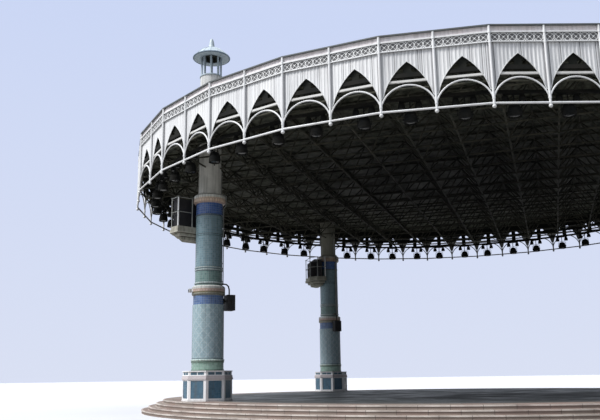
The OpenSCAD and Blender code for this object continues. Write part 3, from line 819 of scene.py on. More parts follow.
finishes = {
    "stone": stoneFinish(),
    "floor": darkFloorFinish(),
    "plaster": plasterFinish(),
    "shaft": shaftFinish(),
    "collar": collarFinish(),
    "concrete": concreteFinish(),
    "case": caseFinish(),
    "grille": grilleFinish(),
    "lamp": weathered("lampPaint", (0.008, 0.009, 0.009), (0.022, 0.021, 0.018), 0.6, 0.3, rust=0.2,
                      roughness=0.85, scale=3.0, specular=0.15),
    "bluePanel": glazedFinish("bluePanel", (0.04, 0.115, 0.185), (0.062, 0.16, 0.245), 60.0, 0.108, 1.08,
                              jointColour=(0.085, 0.16, 0.21)),
    "blueSquare": glazedFinish("blueSquare", (0.04, 0.1, 0.16), (0.07, 0.16, 0.22), 72.0, 0.06, 1.0,
                               shift=0.5, jointColour=(0.1, 0.17, 0.21)),
    "white": weathered("whitePaint", (0.8, 0.81, 0.81), (0.44, 0.43, 0.41), 0.2, 0.22, rust=0.25),
    "fasciaPaint": tubeFinish(),
    "sheet": sheetFinish(),
    "parapet": parapetFinish(),
    "rails": railFinish(),
    "capping": weathered("darkCapping", (0.085, 0.1, 0.105), (0.15, 0.15, 0.145), 0.4, 0.2,
                         roughness=0.55),
    "steel": steelFinish(),
    "edge": weathered("edgeSteel", (0.011, 0.013, 0.012), (0.024, 0.025, 0.02), 0.6, 0.3, rust=0.2,
                      roughness=0.8, scale=1.7, specular=0.15),
    "roof": roofFinish(),
    "lantern": weathered("lanternPaint", (0.42, 0.5, 0.55), (0.2, 0.24, 0.28), 0.3, 0.4, roughness=0.4,
                         scale=1.5),
    "hood": hoodFinish(),
    "lens": weathered("lampLens", (0.03, 0.033, 0.036), (0.06, 0.06, 0.055), 0.4, 0.1, roughness=0.12,
                      scale=4.0),
    "tube": weathered("galvanisedTube", (0.31, 0.33, 0.32), (0.17, 0.165, 0.15), 0.5, 0.3, rust=0.4,
                      roughness=0.45, scale=2.0),
}


def dress(names, finish):
    for name in names:
        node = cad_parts[name]
        if not node.material_slots:
            node.data.materials.append(finishes[finish])
        for slot in node.material_slots:
            slot.material = finishes[finish]


def columnNodes(form):
    return [form.format(number) for number in range(1, 5)]


dress(["stage_drum", "stage_steps"], "stone")
dress(["stage_floor"], "floor")
dress(columnNodes("column_{}_plinth"), "plaster")
dress(columnNodes("column_{}_shaft"), "shaft")
dress(columnNodes("column_{}_collars"), "collar")
dress(columnNodes("balcony_{}"), "concrete")
dress(["balcony_railings", "floodlights"], "white")
dress(["frieze_" + quarter for quarter in quarters], "white")
dress(["parapet"], "parapet")
dress(["capping"], "capping")
dress(["inner_rails"], "rails")
dress(["balcony_loudspeakers", "column_loudspeakers"], "case")
dress(["roof_deck"], "roof")
print("materials made")


# Fascia: round tubes for the welded frame
fasciaSizes = {
    "post": 0.045,
    "tie": 0.04,
    "arch": 0.031,
    "rail": 0.06,
    "railPlane": -0.012,
    "sections": 10,
    "archSteps": 18,
}


def roundArchPath(middle):
    half = bay / 2
    rise = roundTopZ - fasciaSizes["arch"] - roundSpringZ
    r = (half * half + rise * rise) / (2 * rise)
    spread = math.asin(half / r)
    steps = fasciaSizes["archSteps"]
    turns = [-spread + 2 * spread * k / steps for k in range(steps + 1)]
    return [(0, middle + r * math.sin(t), roundSpringZ + rise - r + r * math.cos(t)) for t in turns]


def makeFasciaFrame():
    shape = Shape()
    sections = fasciaSizes["sections"]
    pendant = [(0.001, -0.182), (0.03, -0.176), (0.056, -0.155), (0.071, -0.125), (0.072, -0.105),
               (0.06, -0.073), (0.04, -0.056), (0.04, -0.05), (0.058, -0.044), (0.058, -0.036),
               (0.046, -0.03), (0.046, 0.03)]
    collar = [(0.045, -0.05), (0.055, -0.045), (0.055, 0.045), (0.045, 0.05)]
    for place in cornerPlaces + sidePlaces:
        shape.tube([(0, 0, tieZ - 0.02), (0, 0, cappingZ)], fasciaSizes["post"], sections, place=place)
        shape.lathe([(r, tieZ + z) for r, z in pendant], 12, place)
        for z in (roundSpringZ + 0.02, friezeLowZ, friezeTopZ):
            shape.lathe([(r, z + h) for r, h in collar], 10, place)
    ties = [place @ Vector((0, 0, tieZ)) for place in cornerPlaces]
    shape.tube(ties, fasciaSizes["tie"], 8, closed=True)
    for place in sidePlaces:
        for middle in bayMiddles:
            shape.tube(roundArchPath(middle), fasciaSizes["arch"], 8, place=place)
        for z, high in ((friezeLowZ + 0.011, 0.038), (friezeTopZ, fasciaSizes["rail"])):
            shape.box((fasciaSizes["railPlane"], 0, z), (fasciaSizes["rail"], sideLength, high), place,
                      ease=0.006)
    return shape.make("fasciaTubes", finishes["fasciaPaint"], "white_paint",
                      replaces=["fascia_frame_" + q for q in quarters])


makeFasciaFrame()


# Ribbed sheets with their pointed arches and rolled edges
def archHeight(offset):
    # Height of the pointed opening above the springing, at a distance from its middle
    rise = pointZ - springZ
    chord = math.hypot(archHalf, rise)
    r = sheetSizes["curve"] * chord
    sag = math.sqrt(r * r - chord * chord / 4)
    middleU = archHalf / 2 - sag * rise / chord
    middleV = rise / 2 - sag * archHalf / chord
    reach = abs(offset) - middleU
    return max(0.0, middleV + math.sqrt(max(0.0, r * r - reach * reach)))


def edgeHeight(u):
    middle = bay / 2 if u > 0 else -bay / 2
    off = abs(u - middle)
    return springZ if off >= archHalf else springZ + archHeight(off)


def makeRibbedSheets():
    shape = Shape()
    ribs = sheetSizes["ribsPerBay"]
    pitch = bay / ribs
    flatEnd, topStart, topEnd = sheetSizes["ribShares"]
    inner = (apothem + sheetPlane) * math.tan(step / 2)
    breaks = [(n + f) * pitch for n in range(-ribs, ribs) for f in (0.0, flatEnd, topStart, topEnd)]
    breaks += [0.0, -inner, inner] + [s * (bay / 2 + t * archHalf) for s in (-1, 1) for t in (-1, 0, 1)]
    cuts = sorted({round(max(-inner, min(inner, u)), 5) for u in breaks})

    def depthAt(u):
        place = (u / pitch) % 1.0
        rising = (place - flatEnd) / (topStart - flatEnd)
        falling = (1.0 - place) / (1.0 - topEnd)
        return max(0.0, min(rising, 1.0, falling))

    for place in sidePlaces:
        verts, faces = [], []
        for u in cuts:
            x = sheetPlane - 0.001 - depthAt(u) * sheetSizes["ribDepth"]
            low = edgeHeight(u)
            for k in range(4):
                verts.append((x, u, low + (friezeLowZ - low) * k / 3))
        for k in range(len(cuts) - 1):
            for j in range(3):
                a = k * 4 + j
                faces.append((a, a + 4, a + 5, a + 1))
        shape.add(verts, faces, place)
    return shape.make("ribbedSheets", finishes["sheet"], "sheet_white", sharp=20.0,
                      replaces=["fascia_panels_" + q for q in quarters])


def makeArchEdges():
    shape = Shape()
    steps = 9
    for place in sidePlaces:
        x = sheetPlane + 0.002
        for middle in bayMiddles:
            offs = [archHalf * k / steps for k in range(-steps, steps + 1)]
            path = [(x, middle + off, springZ + archHeight(off)) for off in offs]
            shape.tube(path, sheetSizes["edge"], 6, place=place)
        feet = [(-sideLength / 2, -bay + legHalf), (-legHalf, legHalf), (bay - legHalf, sideLength / 2)]
        for start, end in feet:
            shape.tube([(x, start, springZ), (x, end, springZ)], sheetSizes["edge"], 6, place=place)
    return shape.make("archEdges", finishes["white"], "white_paint")


makeRibbedSheets()
makeArchEdges()
print("fascia made")


# Frieze: a cross and a boss in each ring, and studs between the rings
friezeSizes = {
    "rings": 6,
    "rail": 0.03,
    "plane": -0.034,
    "bar": 0.014,
    "thick": 0.012,
    "short": 0.04,
    "boss": 0.032,
    "stud": 0.028,
    "disc": ((0.6, 0.0), (1.0, 0.004), (0.8, 0.016), (0.0005, 0.022)),
}


def makeFriezeBosses():
    shape = Shape()
    low, high = friezeLowZ + friezeSizes["rail"], friezeTopZ - friezeSizes["rail"]
    middle, ring = (low + high) / 2, (high - low) / 2
    pitch = (bay - 2 * postHalf) / friezeSizes["rings"]
    cross = (friezeSizes["thick"], 2 * ring - friezeSizes["short"], friezeSizes["bar"])
    boss, stud = ([(r * friezeSizes[part], z) for r, z in friezeSizes["disc"]] for part in ("boss", "stud"))
    facing = spin(math.pi / 2, "Y")
    for place in sidePlaces:
        for u in bayMiddles:
            for k in range(friezeSizes["rings"]):
                v = u + (k + 0.5 - friezeSizes["rings"] / 2) * pitch
                centre = place @ at(friezeSizes["plane"], v, middle)
                for turn in (45, -45):
                    shape.box((0, 0, 0), cross, centre @ spin(math.radians(turn), "X"))
                shape.lathe(boss, 8, centre @ facing, capped=False)
                for z in (-ring + 0.03, 0, ring - 0.03) if k else ():
                    shape.lathe(stud, 6, centre @ at(0.008, -pitch / 2, z) @ facing, capped=False)
    return shape.make("friezeBosses", finishes["white"], "white_paint")


makeFriezeBosses()


# Parapet: lap strips and bolts
def makeParapetTrim():
    shape = Shape()
    for place in sidePlaces:
        for u in bayMiddles:
            shape.box((sheetPlane + 0.003, u, (friezeTopZ + cappingZ) / 2),
                      (0.006, 0.05, cappingZ - friezeTopZ - 0.06), place)
            for z in (friezeTopZ + 0.07, cappingZ - 0.05):
                bolt = place @ at(sheetPlane + 0.005, u, z) @ spin(math.pi / 2, "Y")
                shape.lathe([(0.012, 0.0), (0.012, 0.006), (0.006, 0.011)], 8, bolt)
    return shape.make("parapetTrim", finishes["parapet"], "parapet_grey")


makeParapetTrim()


# Space frame: chords, ball joints and diagonals with tapered ends
frameSizes = {
    "fields": 8,
    "chord": 0.042,
    "beams": (0.038, 0.06),
    "ball": 0.085,
    "diagonal": 0.034,
    "tip": 0.016,
    "inset": 0.05,
    "taper": 0.16,
    "saddle": ((0.0, -0.09), (0.1, -0.09), (0.1, -0.06), (0.03, -0.05), (0.03, 0.05), (0.1, 0.06),
               (0.1, 0.09), (0.0, 0.09)),
}
edgeSizes = {
    "back": 0.141,
    "purlin": 0.05,
    "strut": 0.028,
    "brace": 0.02,
    "levels": ((11.83, 0.2), (12.19, 0.22), (12.43, 0.26)),
    "plate": 0.28,
}
frameEdge = apothem - 0.061 - 0.16


def insideCanopy(x, y, reach):
    for i in range(sides):
        a = (i + 0.5) * step
        if x * math.cos(a) + y * math.sin(a) > reach:
            return False
    return True


def chordEnds(level):
    # Where a grid line at this distance from the centre meets the ring beam
    low, high = 0.0, frameEdge + 0.08
    for _ in range(40):
        middle = (low + high) / 2
        low, high = (middle, high) if insideCanopy(level, middle, frameEdge + 0.08) else (low, middle)
    return low


def makeBalls(joints, nodes, z, heads):
    turns = [math.radians(-90 + 22.5 * k) for k in range(9)]
    ball = [(max(frameSizes["ball"] * math.cos(a), 0.0005), frameSizes["ball"] * math.sin(a)) for a in turns]
    for x, y in nodes:
        if all((Vector((x, y, 0)) - head).length > headR for head in heads):
            joints.lathe(ball, 10, at(x, y, z))


def makeDiagonals(braces, bottomNodes, topNodes, heads):
    # Four tubes from each lower ball to the upper ones, from the rim of the head at a column
    near = {(round(x, 3), round(y, 3)) for x, y in topNodes}
    reach, inset, thick = chordPitch / 2, frameSizes["inset"], frameSizes["diagonal"]
    for x, y in bottomNodes:
        for dx, dy in ((-reach, -reach), (-reach, reach), (reach, -reach), (reach, reach)):
            if (round(x + dx, 3), round(y + dy, 3)) not in near:
                continue
            start, end = Vector((x, y, bottomChordZ)), Vector((x + dx, y + dy, topChordZ))
            if any((Vector((x, y, 0)) - head).length < 0.1 for head in heads):
                start = start + Vector((dx, dy, 0)).normalized() * (headR + 0.02)
            along = (end - start).normalized()
            length = (end - start).length
            taper = inset + frameSizes["taper"]
            stops = [inset, taper, length - taper, length - inset]
            radii = [frameSizes["tip"], thick, thick, frameSizes["tip"]]
            braces.tube([start + along * s for s in stops], radii, 8)


def makeSaddle(chords, x, y):
    # Plate and stiffeners round the head of a column, inside a square of tubes
    ring = [(headR + r, topChordZ + z) for r, z in frameSizes["saddle"]]
    chords.lathe(ring, 32, at(x, y, 0))
    for k in range(8):
        place = at(x, y, topChordZ) @ spin(k * math.pi / 4)
        chords.box((headR + 0.25, 0, 0), (0.46, 0.02, 0.15), place)
        chords.tube([(headR + 0.1, 0, 0), (0.92, 0, 0)], 0.03, 8, place=place)
    half = chordPitch / 2
    corners = ((-half, -half), (half, -half), (half, half), (-half, half))
    chords.tube([(x + dx, y + dy, topChordZ) for dx, dy in corners], 0.045, 8, closed=True)


def makeSpaceFrame():
    chords, joints, braces = Shape(), Shape(), Shape()
    heads = [Vector((x, y, 0)) for x, y in columnPlaces]
    fields = frameSizes["fields"]
    bottomLines = [k * chordPitch for k in range(-fields, fields + 1)]
    topLines = [(k + 0.5) * chordPitch for k in range(-fields, fields)]
    layers = []
    for lines, z in ((bottomLines, bottomChordZ), (topLines, topChordZ)):
        for line in lines:
            end = chordEnds(abs(line))
            chords.tube([(line, -end, z), (line, end, z)], frameSizes["chord"], 8)
            chords.tube([(-end, line, z), (end, line, z)], frameSizes["chord"], 8)
        nodes = [(x, y) for x in lines for y in lines if insideCanopy(x, y, frameEdge - 0.1)]
        makeBalls(joints, nodes, z, heads)
        layers.append(nodes)
    makeDiagonals(braces, layers[0], layers[1], heads)
    beam = (apothem - edgeSizes["back"]) / halfCos
    for z, r in zip((bottomChordZ, topChordZ), frameSizes["beams"]):
        path = [(beam * math.cos(i * step), beam * math.sin(i * step), z) for i in range(sides)]
        chords.tube(path, r, 8, closed=True)
    for x, y in columnPlaces:
        makeSaddle(chords, x, y)
    chords.make("frameChords", finishes["steel"], "dark_steel", replaces=["bottom_chords", "top_chords"])
    joints.make("frameJoints", finishes["steel"], "dark_steel")
    braces.make("frameDiagonals", finishes["steel"], "dark_steel")


makeSpaceFrame()


# Edge of the space frame: purlins on struts between the two ring beams
def makeEdgePurlins():
    shape = Shape()
    back = edgeSizes["back"]
    length = 2 * (apothem - back) * math.tan(step / 2)
    for place in sidePlaces:
        for z, high in edgeSizes["levels"]:
            shape.box((-back, 0, z), (edgeSizes["purlin"], length, high), place)
        for u in (-length / 2, 0):
            shape.tube([(-back, u, bottomChordZ), (-back, u, topChordZ)], edgeSizes["strut"], 6,
                       place=place)
            shape.tube([(-back - 0.03, u, bottomChordZ), (-back - 0.03, u + length / 2, topChordZ)],
                       edgeSizes["brace"], 6, place=place)
        for u in (-length / 4, length / 4):
            shape.box((-back, u, (bottomChordZ + topChordZ) / 2),
                      (0.04, edgeSizes["plate"], topChordZ - bottomChordZ), place)
    return shape.make("edgePurlins", finishes["edge"], "dark_steel")


makeEdgePurlins()
print("space frame made")


# Roof: standing seams from the parapet to the middle, a cap there and a skirt round each column head
seamSizes = {"perSide": 4, "starts": (1.0, 8.0, 4.0, 8.0), "back": 0.30, "deck": 0.06, "sunk": 0.5,
             "gap": 0.1}


def makeRoofSeams():
    shape = Shape()
    seams = seamSizes["perSide"] * sides
    outer = apothem - seamSizes["back"]
    lowZ = deckLowZ + seamSizes["deck"]
    slope = (deckTopZ - lowZ) / (cornerR - seamSizes["sunk"])
    ring = math.hypot(columnXY, columnXY)
    past = headR + seamSizes["gap"]
    for k in range(seams):
        a = 2 * math.pi * (k + 0.5) / seams
        start = seamSizes["starts"][k % 4]
        ends = [(start, outer)]
        for x, y in columnPlaces:
            # A seam that would meet the head of a column stops before it and goes on behind it
            across = abs(-math.sin(a) * x + math.cos(a) * y)
            if across < headR + 0.05 and math.cos(a) * x + math.sin(a) * y > 0:
                ends = [(start, ring - past), (ring + past, outer)]
        for r0, r1 in ends:
            verts = []
            for r in (r0, r1):
                z = lowZ + (cornerR - r) * slope + 0.012
                verts += [(r, -0.015, z - 0.03), (r, -0.009, z + 0.03), (r, 0.009, z + 0.03),
                          (r, 0.015, z - 0.03)]
            faces = [(0, 4, 5, 1), (1, 5, 6, 2), (2, 6, 7, 3), (0, 1, 2, 3), (7, 6, 5, 4)]
            shape.add(verts, faces, spin(a))
    cap = [(1.15, -0.035), (1.15, 0.0), (0.9, 0.035), (0.3, 0.07), (0.001, 0.08)]
    shape.lathe([(r, deckTopZ + z) for r, z in cap], 28)
    for x, y in columnPlaces:
        z = lowZ + (cornerR - math.hypot(x, y)) * slope
        skirt = [(0.16, -0.05), (0.14, 0.03), (0.02, 0.12), (0.02, 0.3), (0.005, 0.31)]
        shape.lathe([(headR + r, z + h) for r, h in skirt], 32, at(x, y, 0))
    return shape.make("roofSeams", finishes["roof"], "roof_sheet")


makeRoofSeams()


# Stage lamps: under each bay a crossbar with two small cans and a large one on a stem
lampSizes = {
    "ring": 1.0,
    "cross": 0.76,
    "small": 0.13,
    "smallHigh": 0.25,
    "large": 0.25,
    "largeHigh": 0.45,
    "gap": 0.41,
    "stem": 0.025,
    "bar": 0.06,
    "yoke": 0.013,
    "clear": 0.014,
    "pivot": 0.3,
}


def lampCan(cans, lenses, place, r, top, low):
    # A finned can, open below, with its lens
    high = top - low
    neck = [(0.0005, top), (0.32 * r, top), (0.45 * r, top - 0.03 * high), (0.45 * r, top - 0.08 * high)]
    fins = []
    for k in range(4):
        z = top - (0.09 + 0.07 * k) * high
        wide = (0.72 + 0.05 * k) * r
        fins += [(wide, z), (wide, z - 0.03 * high), (0.62 * r, z - 0.031 * high),
                 (0.62 * r, z - 0.068 * high)]
    body = [(0.9 * r, top - 0.38 * high), (0.94 * r, top - 0.62 * high), (r, top - 0.66 * high),
            (r, low + 0.02 * high), (0.95 * r, low), (0.88 * r, low), (0.84 * r, low + 0.1 * high)]
    cans.lathe(neck + fins + body, 16, place, capped=False)
    lens = [(0.85 * r, low + 0.1 * high), (0.6 * r, low + 0.06 * high), (0.3 * r, low + 0.035 * high),
            (0.0005, low + 0.03 * high)]
    lenses.lathe(lens, 16, place, capped=False)


def makeLamps():
    cans, lenses = Shape(), Shape()
    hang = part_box("stage_lamps")[1].z
    ring = cornerR - lampSizes["ring"]
    for i in range(sides):
        for u in bayMiddles:
            place = spin((i + 0.5) * step) @ at(ring, u, 0)
            cross, bar = lampSizes["cross"], lampSizes["bar"]
            cans.box((0, 0, hang - bar / 2), (bar, cross, bar), place, ease=0.006)
            for v in (-0.4 * cross, 0.4 * cross):
                top = hang - bar
                low = top - lampSizes["smallHigh"]
                lampCan(cans, lenses, place @ at(0, v, 0), lampSizes["small"], top, low)
            top = hang - lampSizes["gap"]
            r = lampSizes["large"]
            lampCan(cans, lenses, place, r, top, top - lampSizes["largeHigh"])
            cans.tube([(0, 0, hang), (0, 0, top - 0.02)], lampSizes["stem"], 8, place=place)
            reach, pivotZ = r + lampSizes["clear"], top - lampSizes["pivot"]
            yoke = [(0, -reach, pivotZ), (0, -reach, top - 0.02), (0, -0.1, top + 0.07),
                    (0, 0.1, top + 0.07), (0, reach, top - 0.02), (0, reach, pivotZ)]
            cans.tube(yoke, lampSizes["yoke"], 6, place=place)
            for side in (-1, 1):
                knob = place @ at(0, side * (reach - 0.002), pivotZ) @ spin(math.pi / 2, "X")
                cans.lathe([(0.03, -0.02), (0.03, 0.02)], 8, knob)
    cans.make("lampCans", finishes["lamp"], "black_case", replaces=["stage_lamps"])
    lenses.make("lampLenses", finishes["lens"], "black_case")


makeLamps()
print("roof and lamps made")


# Lanterns: posts with feet, a curved hood with ribs and a rolled brim, a dark throat and a spike
lanternSizes = {
    "ring": 0.47,
    "post": 0.045,
    "throat": 0.25,
    "mouth": 0.534,
    "peak": 0.57,
    "ribs": 16,
    "spike": ((0.165, 0.1), (0.148, 0.25), (0.135, 0.44), (0.118, 0.62), (0.092, 0.8)),
}


def hoodProfile(brim, low, peak, top):
    # Outline of the hood from the edge of the brim to the tip of the spike
    high, tall = peak - low, top - peak
    lip = [(brim - 0.012, low), (brim, low + 0.012), (brim, low + 0.034), (brim - 0.02, low + 0.052)]
    curve = [(r * brim, low + h * high) for r, h in ((0.66, 0.58), (0.52, 0.74), (0.4, 0.86), (0.28, 0.945))]
    spike = [(r * brim, peak + h * tall) for r, h in lanternSizes["spike"]]
    return lip + curve + [(0.19 * brim, peak)] + spike + [(0.05 * brim, top - 0.025), (0.001, top)]


def makeLanterns():
    posts, hoods, throats = Shape(), Shape(), Shape()
    brimZ = hoodLow.z
    peak = brimZ + lanternSizes["peak"]
    mouth, throat = lanternSizes["mouth"], lanternSizes["throat"]
    profile = hoodProfile(hoodBrim, brimZ, peak, hoodHigh.z)
    for number in range(1, 5):
        place = columnPlace(number)
        for k in range(8):
            turned = place @ spin(math.radians(45 * k + 22.5)) @ at(lanternSizes["ring"], 0, 0)
            r = lanternSizes["post"]
            posts.lathe([(0.06, headZ), (0.06, headZ + 0.018), (0.052, headZ + 0.03), (r, headZ + 0.05),
                         (r, brimZ + throat)], 12, turned)
            posts.lathe([(r + 0.012, brimZ - 0.09), (r + 0.012, brimZ - 0.06)], 12, turned)
        posts.lathe([(headR - 0.02, headZ - 0.07), (headR + 0.035, headZ - 0.06),
                     (headR + 0.035, headZ - 0.012), (headR + 0.02, headZ + 0.002),
                     (0.001, headZ + 0.004)], 40, place)
        posts.lathe([(mouth - 0.03, brimZ - 0.012), (mouth - 0.002, brimZ - 0.012),
                     (mouth - 0.002, brimZ + 0.02), (mouth - 0.03, brimZ + 0.02)], 40, place, capped=False)
        hoods.lathe([(mouth, brimZ + throat), (mouth, brimZ + 0.004), (mouth + 0.012, brimZ)] + profile,
                    48, place, capped=False)
        hoods.lathe([(0.185, peak - 0.03), (0.205, peak - 0.012), (0.205, peak + 0.012),
                     (0.17, peak + 0.03)], 24, place, capped=False)
        throats.lathe([(0.001, brimZ + throat - 0.002), (mouth - 0.002, brimZ + throat - 0.002),
                       (mouth - 0.003, brimZ + 0.02)], 40, place, capped=False)
        for k in range(lanternSizes["ribs"]):
            a = 2 * math.pi * k / lanternSizes["ribs"]
            rib = [(r + 0.003, z + 0.004) for r, z in profile[3:9]]
            hoods.tube([(r * math.cos(a), r * math.sin(a), z) for r, z in rib], 0.010, 6, place=place)
    posts.make("lanternPosts", finishes["lantern"], "lantern_blue", replaces=["lantern_posts"])
    hoods.make("lanternHoods", finishes["hood"], "lantern_blue", replaces=["lantern_hoods"])
    throats.make("lanternThroats", finishes["steel"], "dark_steel")


makeLanterns()
print("lanterns made")


# Plinths: glazed panels in the recesses of the faces, with a plain bar between the two upper ones
plinthSizes = {
    "apothem": 1.0347,
    "wide": 0.62,
    "high": 0.76,
    "deep": 0.025,
    "low": 0.12,
    "thick": 0.011,
    "bandApothem": 1.0117,
    "slotWide": 0.64,
    "slotHigh": 0.12,
    "slotDeep": 0.015,
    "slotLow": 1.13,
    "bar": 0.034,
}


def makePlinthPanels():
    panels, slots, bars = Shape(), Shape(), Shape()
    sizes = plinthSizes
    x = sizes["apothem"] - sizes["deep"] + sizes["thick"] / 2 - 0.001
    bandX = sizes["bandApothem"] - sizes["slotDeep"] + 0.004
    half = (sizes["slotWide"] - sizes["bar"]) / 2
    for number in range(1, 5):
        for k in range(8):
            place = columnPlace(number) @ spin(k * math.pi / 4)
            z = floorZ + sizes["low"] + sizes["high"] / 2
            panels.box((x, 0, z), (sizes["thick"], sizes["wide"] - 0.003, sizes["high"] - 0.003), place,
                       ease=0.003)
            z = floorZ + sizes["slotLow"] + sizes["slotHigh"] / 2
            for side in (-1, 1):
                slots.box((bandX, side * (half + sizes["bar"]) / 2, z),
                          (0.01, half - 0.003, sizes["slotHigh"] - 0.003), place, ease=0.002)
            bars.box((bandX + 0.003, 0, z), (0.014, sizes["bar"], sizes["slotHigh"]), place)
    panels.make("plinthPanels", finishes["bluePanel"], "teal_tile")
    slots.make("plinthSlots", finishes["blueSquare"], "teal_tile")
    bars.make("plinthBars", finishes["plaster"], "white_plaster")


makePlinthPanels()


# Balcony railings: tubes with feet and caps
balconySizes = {
    "long": 1.44,
    "wide": 1.44,
    "near": 0.84,
    "cut": 0.45,
    "back": 0.44,
    "beside": 0.675,
    "foot": 8.5,
    "middle": 9.185,
    "top": 9.87,
    "post": 0.025,
    "stout": 0.036,
    "rail": 0.0185,
}


def makeRailings():
    posts, thin, rails = Shape(), Shape(), Shape()
    b = balconySizes
    front = b["long"] - b["cut"]
    outline = [(b["back"], -b["beside"]), (b["back"], -b["near"]), (front, -b["near"]),
               (b["long"], b["cut"] - b["near"]), (b["long"], b["wide"] - b["cut"]), (front, b["wide"]),
               (b["back"], b["wide"]), (b["back"], b["beside"])]
    for number in range(1, 5):
        place = balconyPlace(number)
        for k, (x, y) in enumerate(outline):
            stout = k in (1, len(outline) - 2)
            r = b["stout"] if stout else b["post"]
            shape = posts if stout else thin
            shape.lathe([(0.05, b["foot"]), (0.05, b["foot"] + 0.01), (r + 0.004, b["foot"] + 0.014),
                         (r, b["foot"] + 0.03), (r, b["top"] + 0.012), (0.8 * r, b["top"] + 0.024),
                         (0.0005, b["top"] + 0.03)], 10, place @ at(x, y, 0))
        for z in (b["middle"], b["top"]):
            rails.tube([(x, y, z) for x, y in outline], b["rail"], 8, place=place)
            cuff = [(b["post"], z - 0.03), (b["stout"] + 0.006, z - 0.026),
                    (b["stout"] + 0.006, z + 0.026), (b["post"], z + 0.03)]
            for x, y in outline[1:-1]:
                rails.lathe(cuff, 10, place @ at(x, y, 0), capped=False)
    posts.make("railingPosts", finishes["white"], "white_paint", replaces=["balcony_railings"])
    thin.make("railingUprights", finishes["tube"], "white_paint")
    rails.make("railingTubes", finishes["tube"], "white_paint")


makeRailings()


# Loudspeakers: raised frames and upright slats on the faces that show
cabinetSizes = {
    "frame": 0.045,
    "proud": 0.01,
    "slat": 0.022,
    "pitch": 0.055,
    "floor": 8.37,
    "side": 0.66,
    "deep": 0.3425,
    "gap": 0.08,
    "long": 1.25,
    "short": 0.65,
    "slit": 0.02,
    "frontLow": -0.34,
    "frontWide": 1.165,
    "high": 1.48,
    "innerLow": (0.845, -0.24, 4.635),
    "innerSize": (0.38, 0.48, 0.72),
    "pivotX": 1.035,
    "pivotY": 0.25,
    "pivotZ": 5.0,
    "lead": ((0.6, 0, 5.8), (0.74, 0, 5.865), (0.88, 0, 5.85), (0.98, 0, 5.76), (1.02, 0, 5.6),
             (1.02, 0, 5.35)),
    "leadR": 0.034,
}


def addGrille(frames, slats, place, wide, high):
    # One face of a cabinet: X out of the face, Y across it, Z up from its lower edge
    edge, proud = cabinetSizes["frame"], cabinetSizes["proud"]
    for side in (-1, 1):
        frames.box((proud / 2, side * (wide - edge) / 2, high / 2), (proud, edge, high), place)
        frames.box((proud / 2, 0, high / 2 + side * (high - edge) / 2), (proud, wide - 2 * edge, edge),
                   place)
    frames.box((proud / 2, 0, high / 2), (proud, wide - 2 * edge, edge), place)
    count = int((wide - 2 * edge) / cabinetSizes["pitch"])
    for k in range(count):
        y = (k + 0.5 - count / 2) * cabinetSizes["pitch"]
        slats.box((0.003, y, high / 2), (0.006, cabinetSizes["slat"], high - 2 * edge), place)


def dressCabinet(frames, slats, place, low, size):
    x, y, z = low
    l, w, h = size
    quarter = spin(math.pi / 2)
    addGrille(frames, slats, place @ at(x + l, y + w / 2, z), w, h)
    addGrille(frames, slats, place @ at(x + l / 2, y + w, z) @ quarter, l, h)
    addGrille(frames, slats, place @ at(x + l / 2, y, z) @ quarter.inverted(), l, h)


def makeCabinets():
    frames, slats, straps = Shape(), Shape(), Shape()
    c = cabinetSizes
    for number in range(1, 5):
        place = balconyPlace(number)
        cabinets = (
            ((c["side"], c["gap"], c["floor"]), (c["deep"], c["long"], c["high"])),
            ((c["side"], -c["gap"] - c["short"], c["floor"]), (c["deep"], c["short"], 0.9 * c["high"])),
            ((c["side"] + c["deep"] + c["slit"], c["frontLow"], c["floor"]),
             (c["deep"], c["frontWide"], 0.82 * c["high"])),
        )
        for low, size in cabinets:
            dressCabinet(frames, slats, place, low, size)
        inner = columnPlace(number) @ spin(math.pi)
        dressCabinet(frames, slats, inner, c["innerLow"], c["innerSize"])
        for side in (-1, 1):
            pivot = inner @ at(c["pivotX"], side * c["pivotY"], c["pivotZ"])
            straps.box((0, -side * 0.005, 0), (0.06, 0.012, 0.30), pivot)
            straps.lathe([(0.03, 0.0), (0.03, 0.012), (0.012, 0.02), (0.0005, 0.02)], 10,
                         pivot @ spin(-side * math.pi / 2, "X"), capped=False)
        straps.box((0.745, 0, 5.065), (0.03, 0.22, 0.26), inner, ease=0.005)
        straps.tube(c["lead"], c["leadR"], 10, place=inner)
        x, y, z = c["lead"][-1]
        straps.lathe([(0.03, z + 0.002), (0.03, z + 0.025), (0.018, z + 0.04)], 10, inner @ at(x, y, 0),
                     capped=False)
    frames.make("cabinetFrames", finishes["case"], "black_case")
    slats.make("cabinetSlats", finishes["grille"], "black_case")
    straps.make("cabinetBrackets", finishes["steel"], "dark_steel")


makeCabinets()


# Conduits up the inner side of each column, bent round the top collar, with clips
conduitSizes = {
    "turn": 159,
    "tube": 0.021,
    "second": 5.0,
    "path": ((0.665, 5.79), (0.665, 9.42), (0.775, 9.56), (0.775, 10.03), (0.556, 10.14), (0.556, 11.24)),
    "clips": ((0.645, 5.95), (0.645, 6.8), (0.645, 7.65), (0.645, 8.5), (0.645, 9.35), (0.556, 10.35),
              (0.556, 11.0)),
}


def makeConduits():
    shape = Shape()
    for number in range(1, 5):
        side = 1 if number % 2 else -1
        for extra in (0, conduitSizes["second"]):
            place = columnPlace(number) @ spin(math.radians(side * (conduitSizes["turn"] + extra)))
            shape.tube([(r, 0, z) for r, z in conduitSizes["path"]], conduitSizes["tube"], 8, place=place)
            for r, z in conduitSizes["clips"]:
                shape.box((r, 0, z), (0.078, 0.085, 0.03), place, ease=0.004)
    return shape.make("conduits", finishes["tube"], "white_paint")


makeConduits()


# Floodlights: a cast body with fins, a hooded lens and a forked arm
floodSizes = {"middle": 5.4975, "start": 0.765, "wide": 0.22, "high": 0.17}


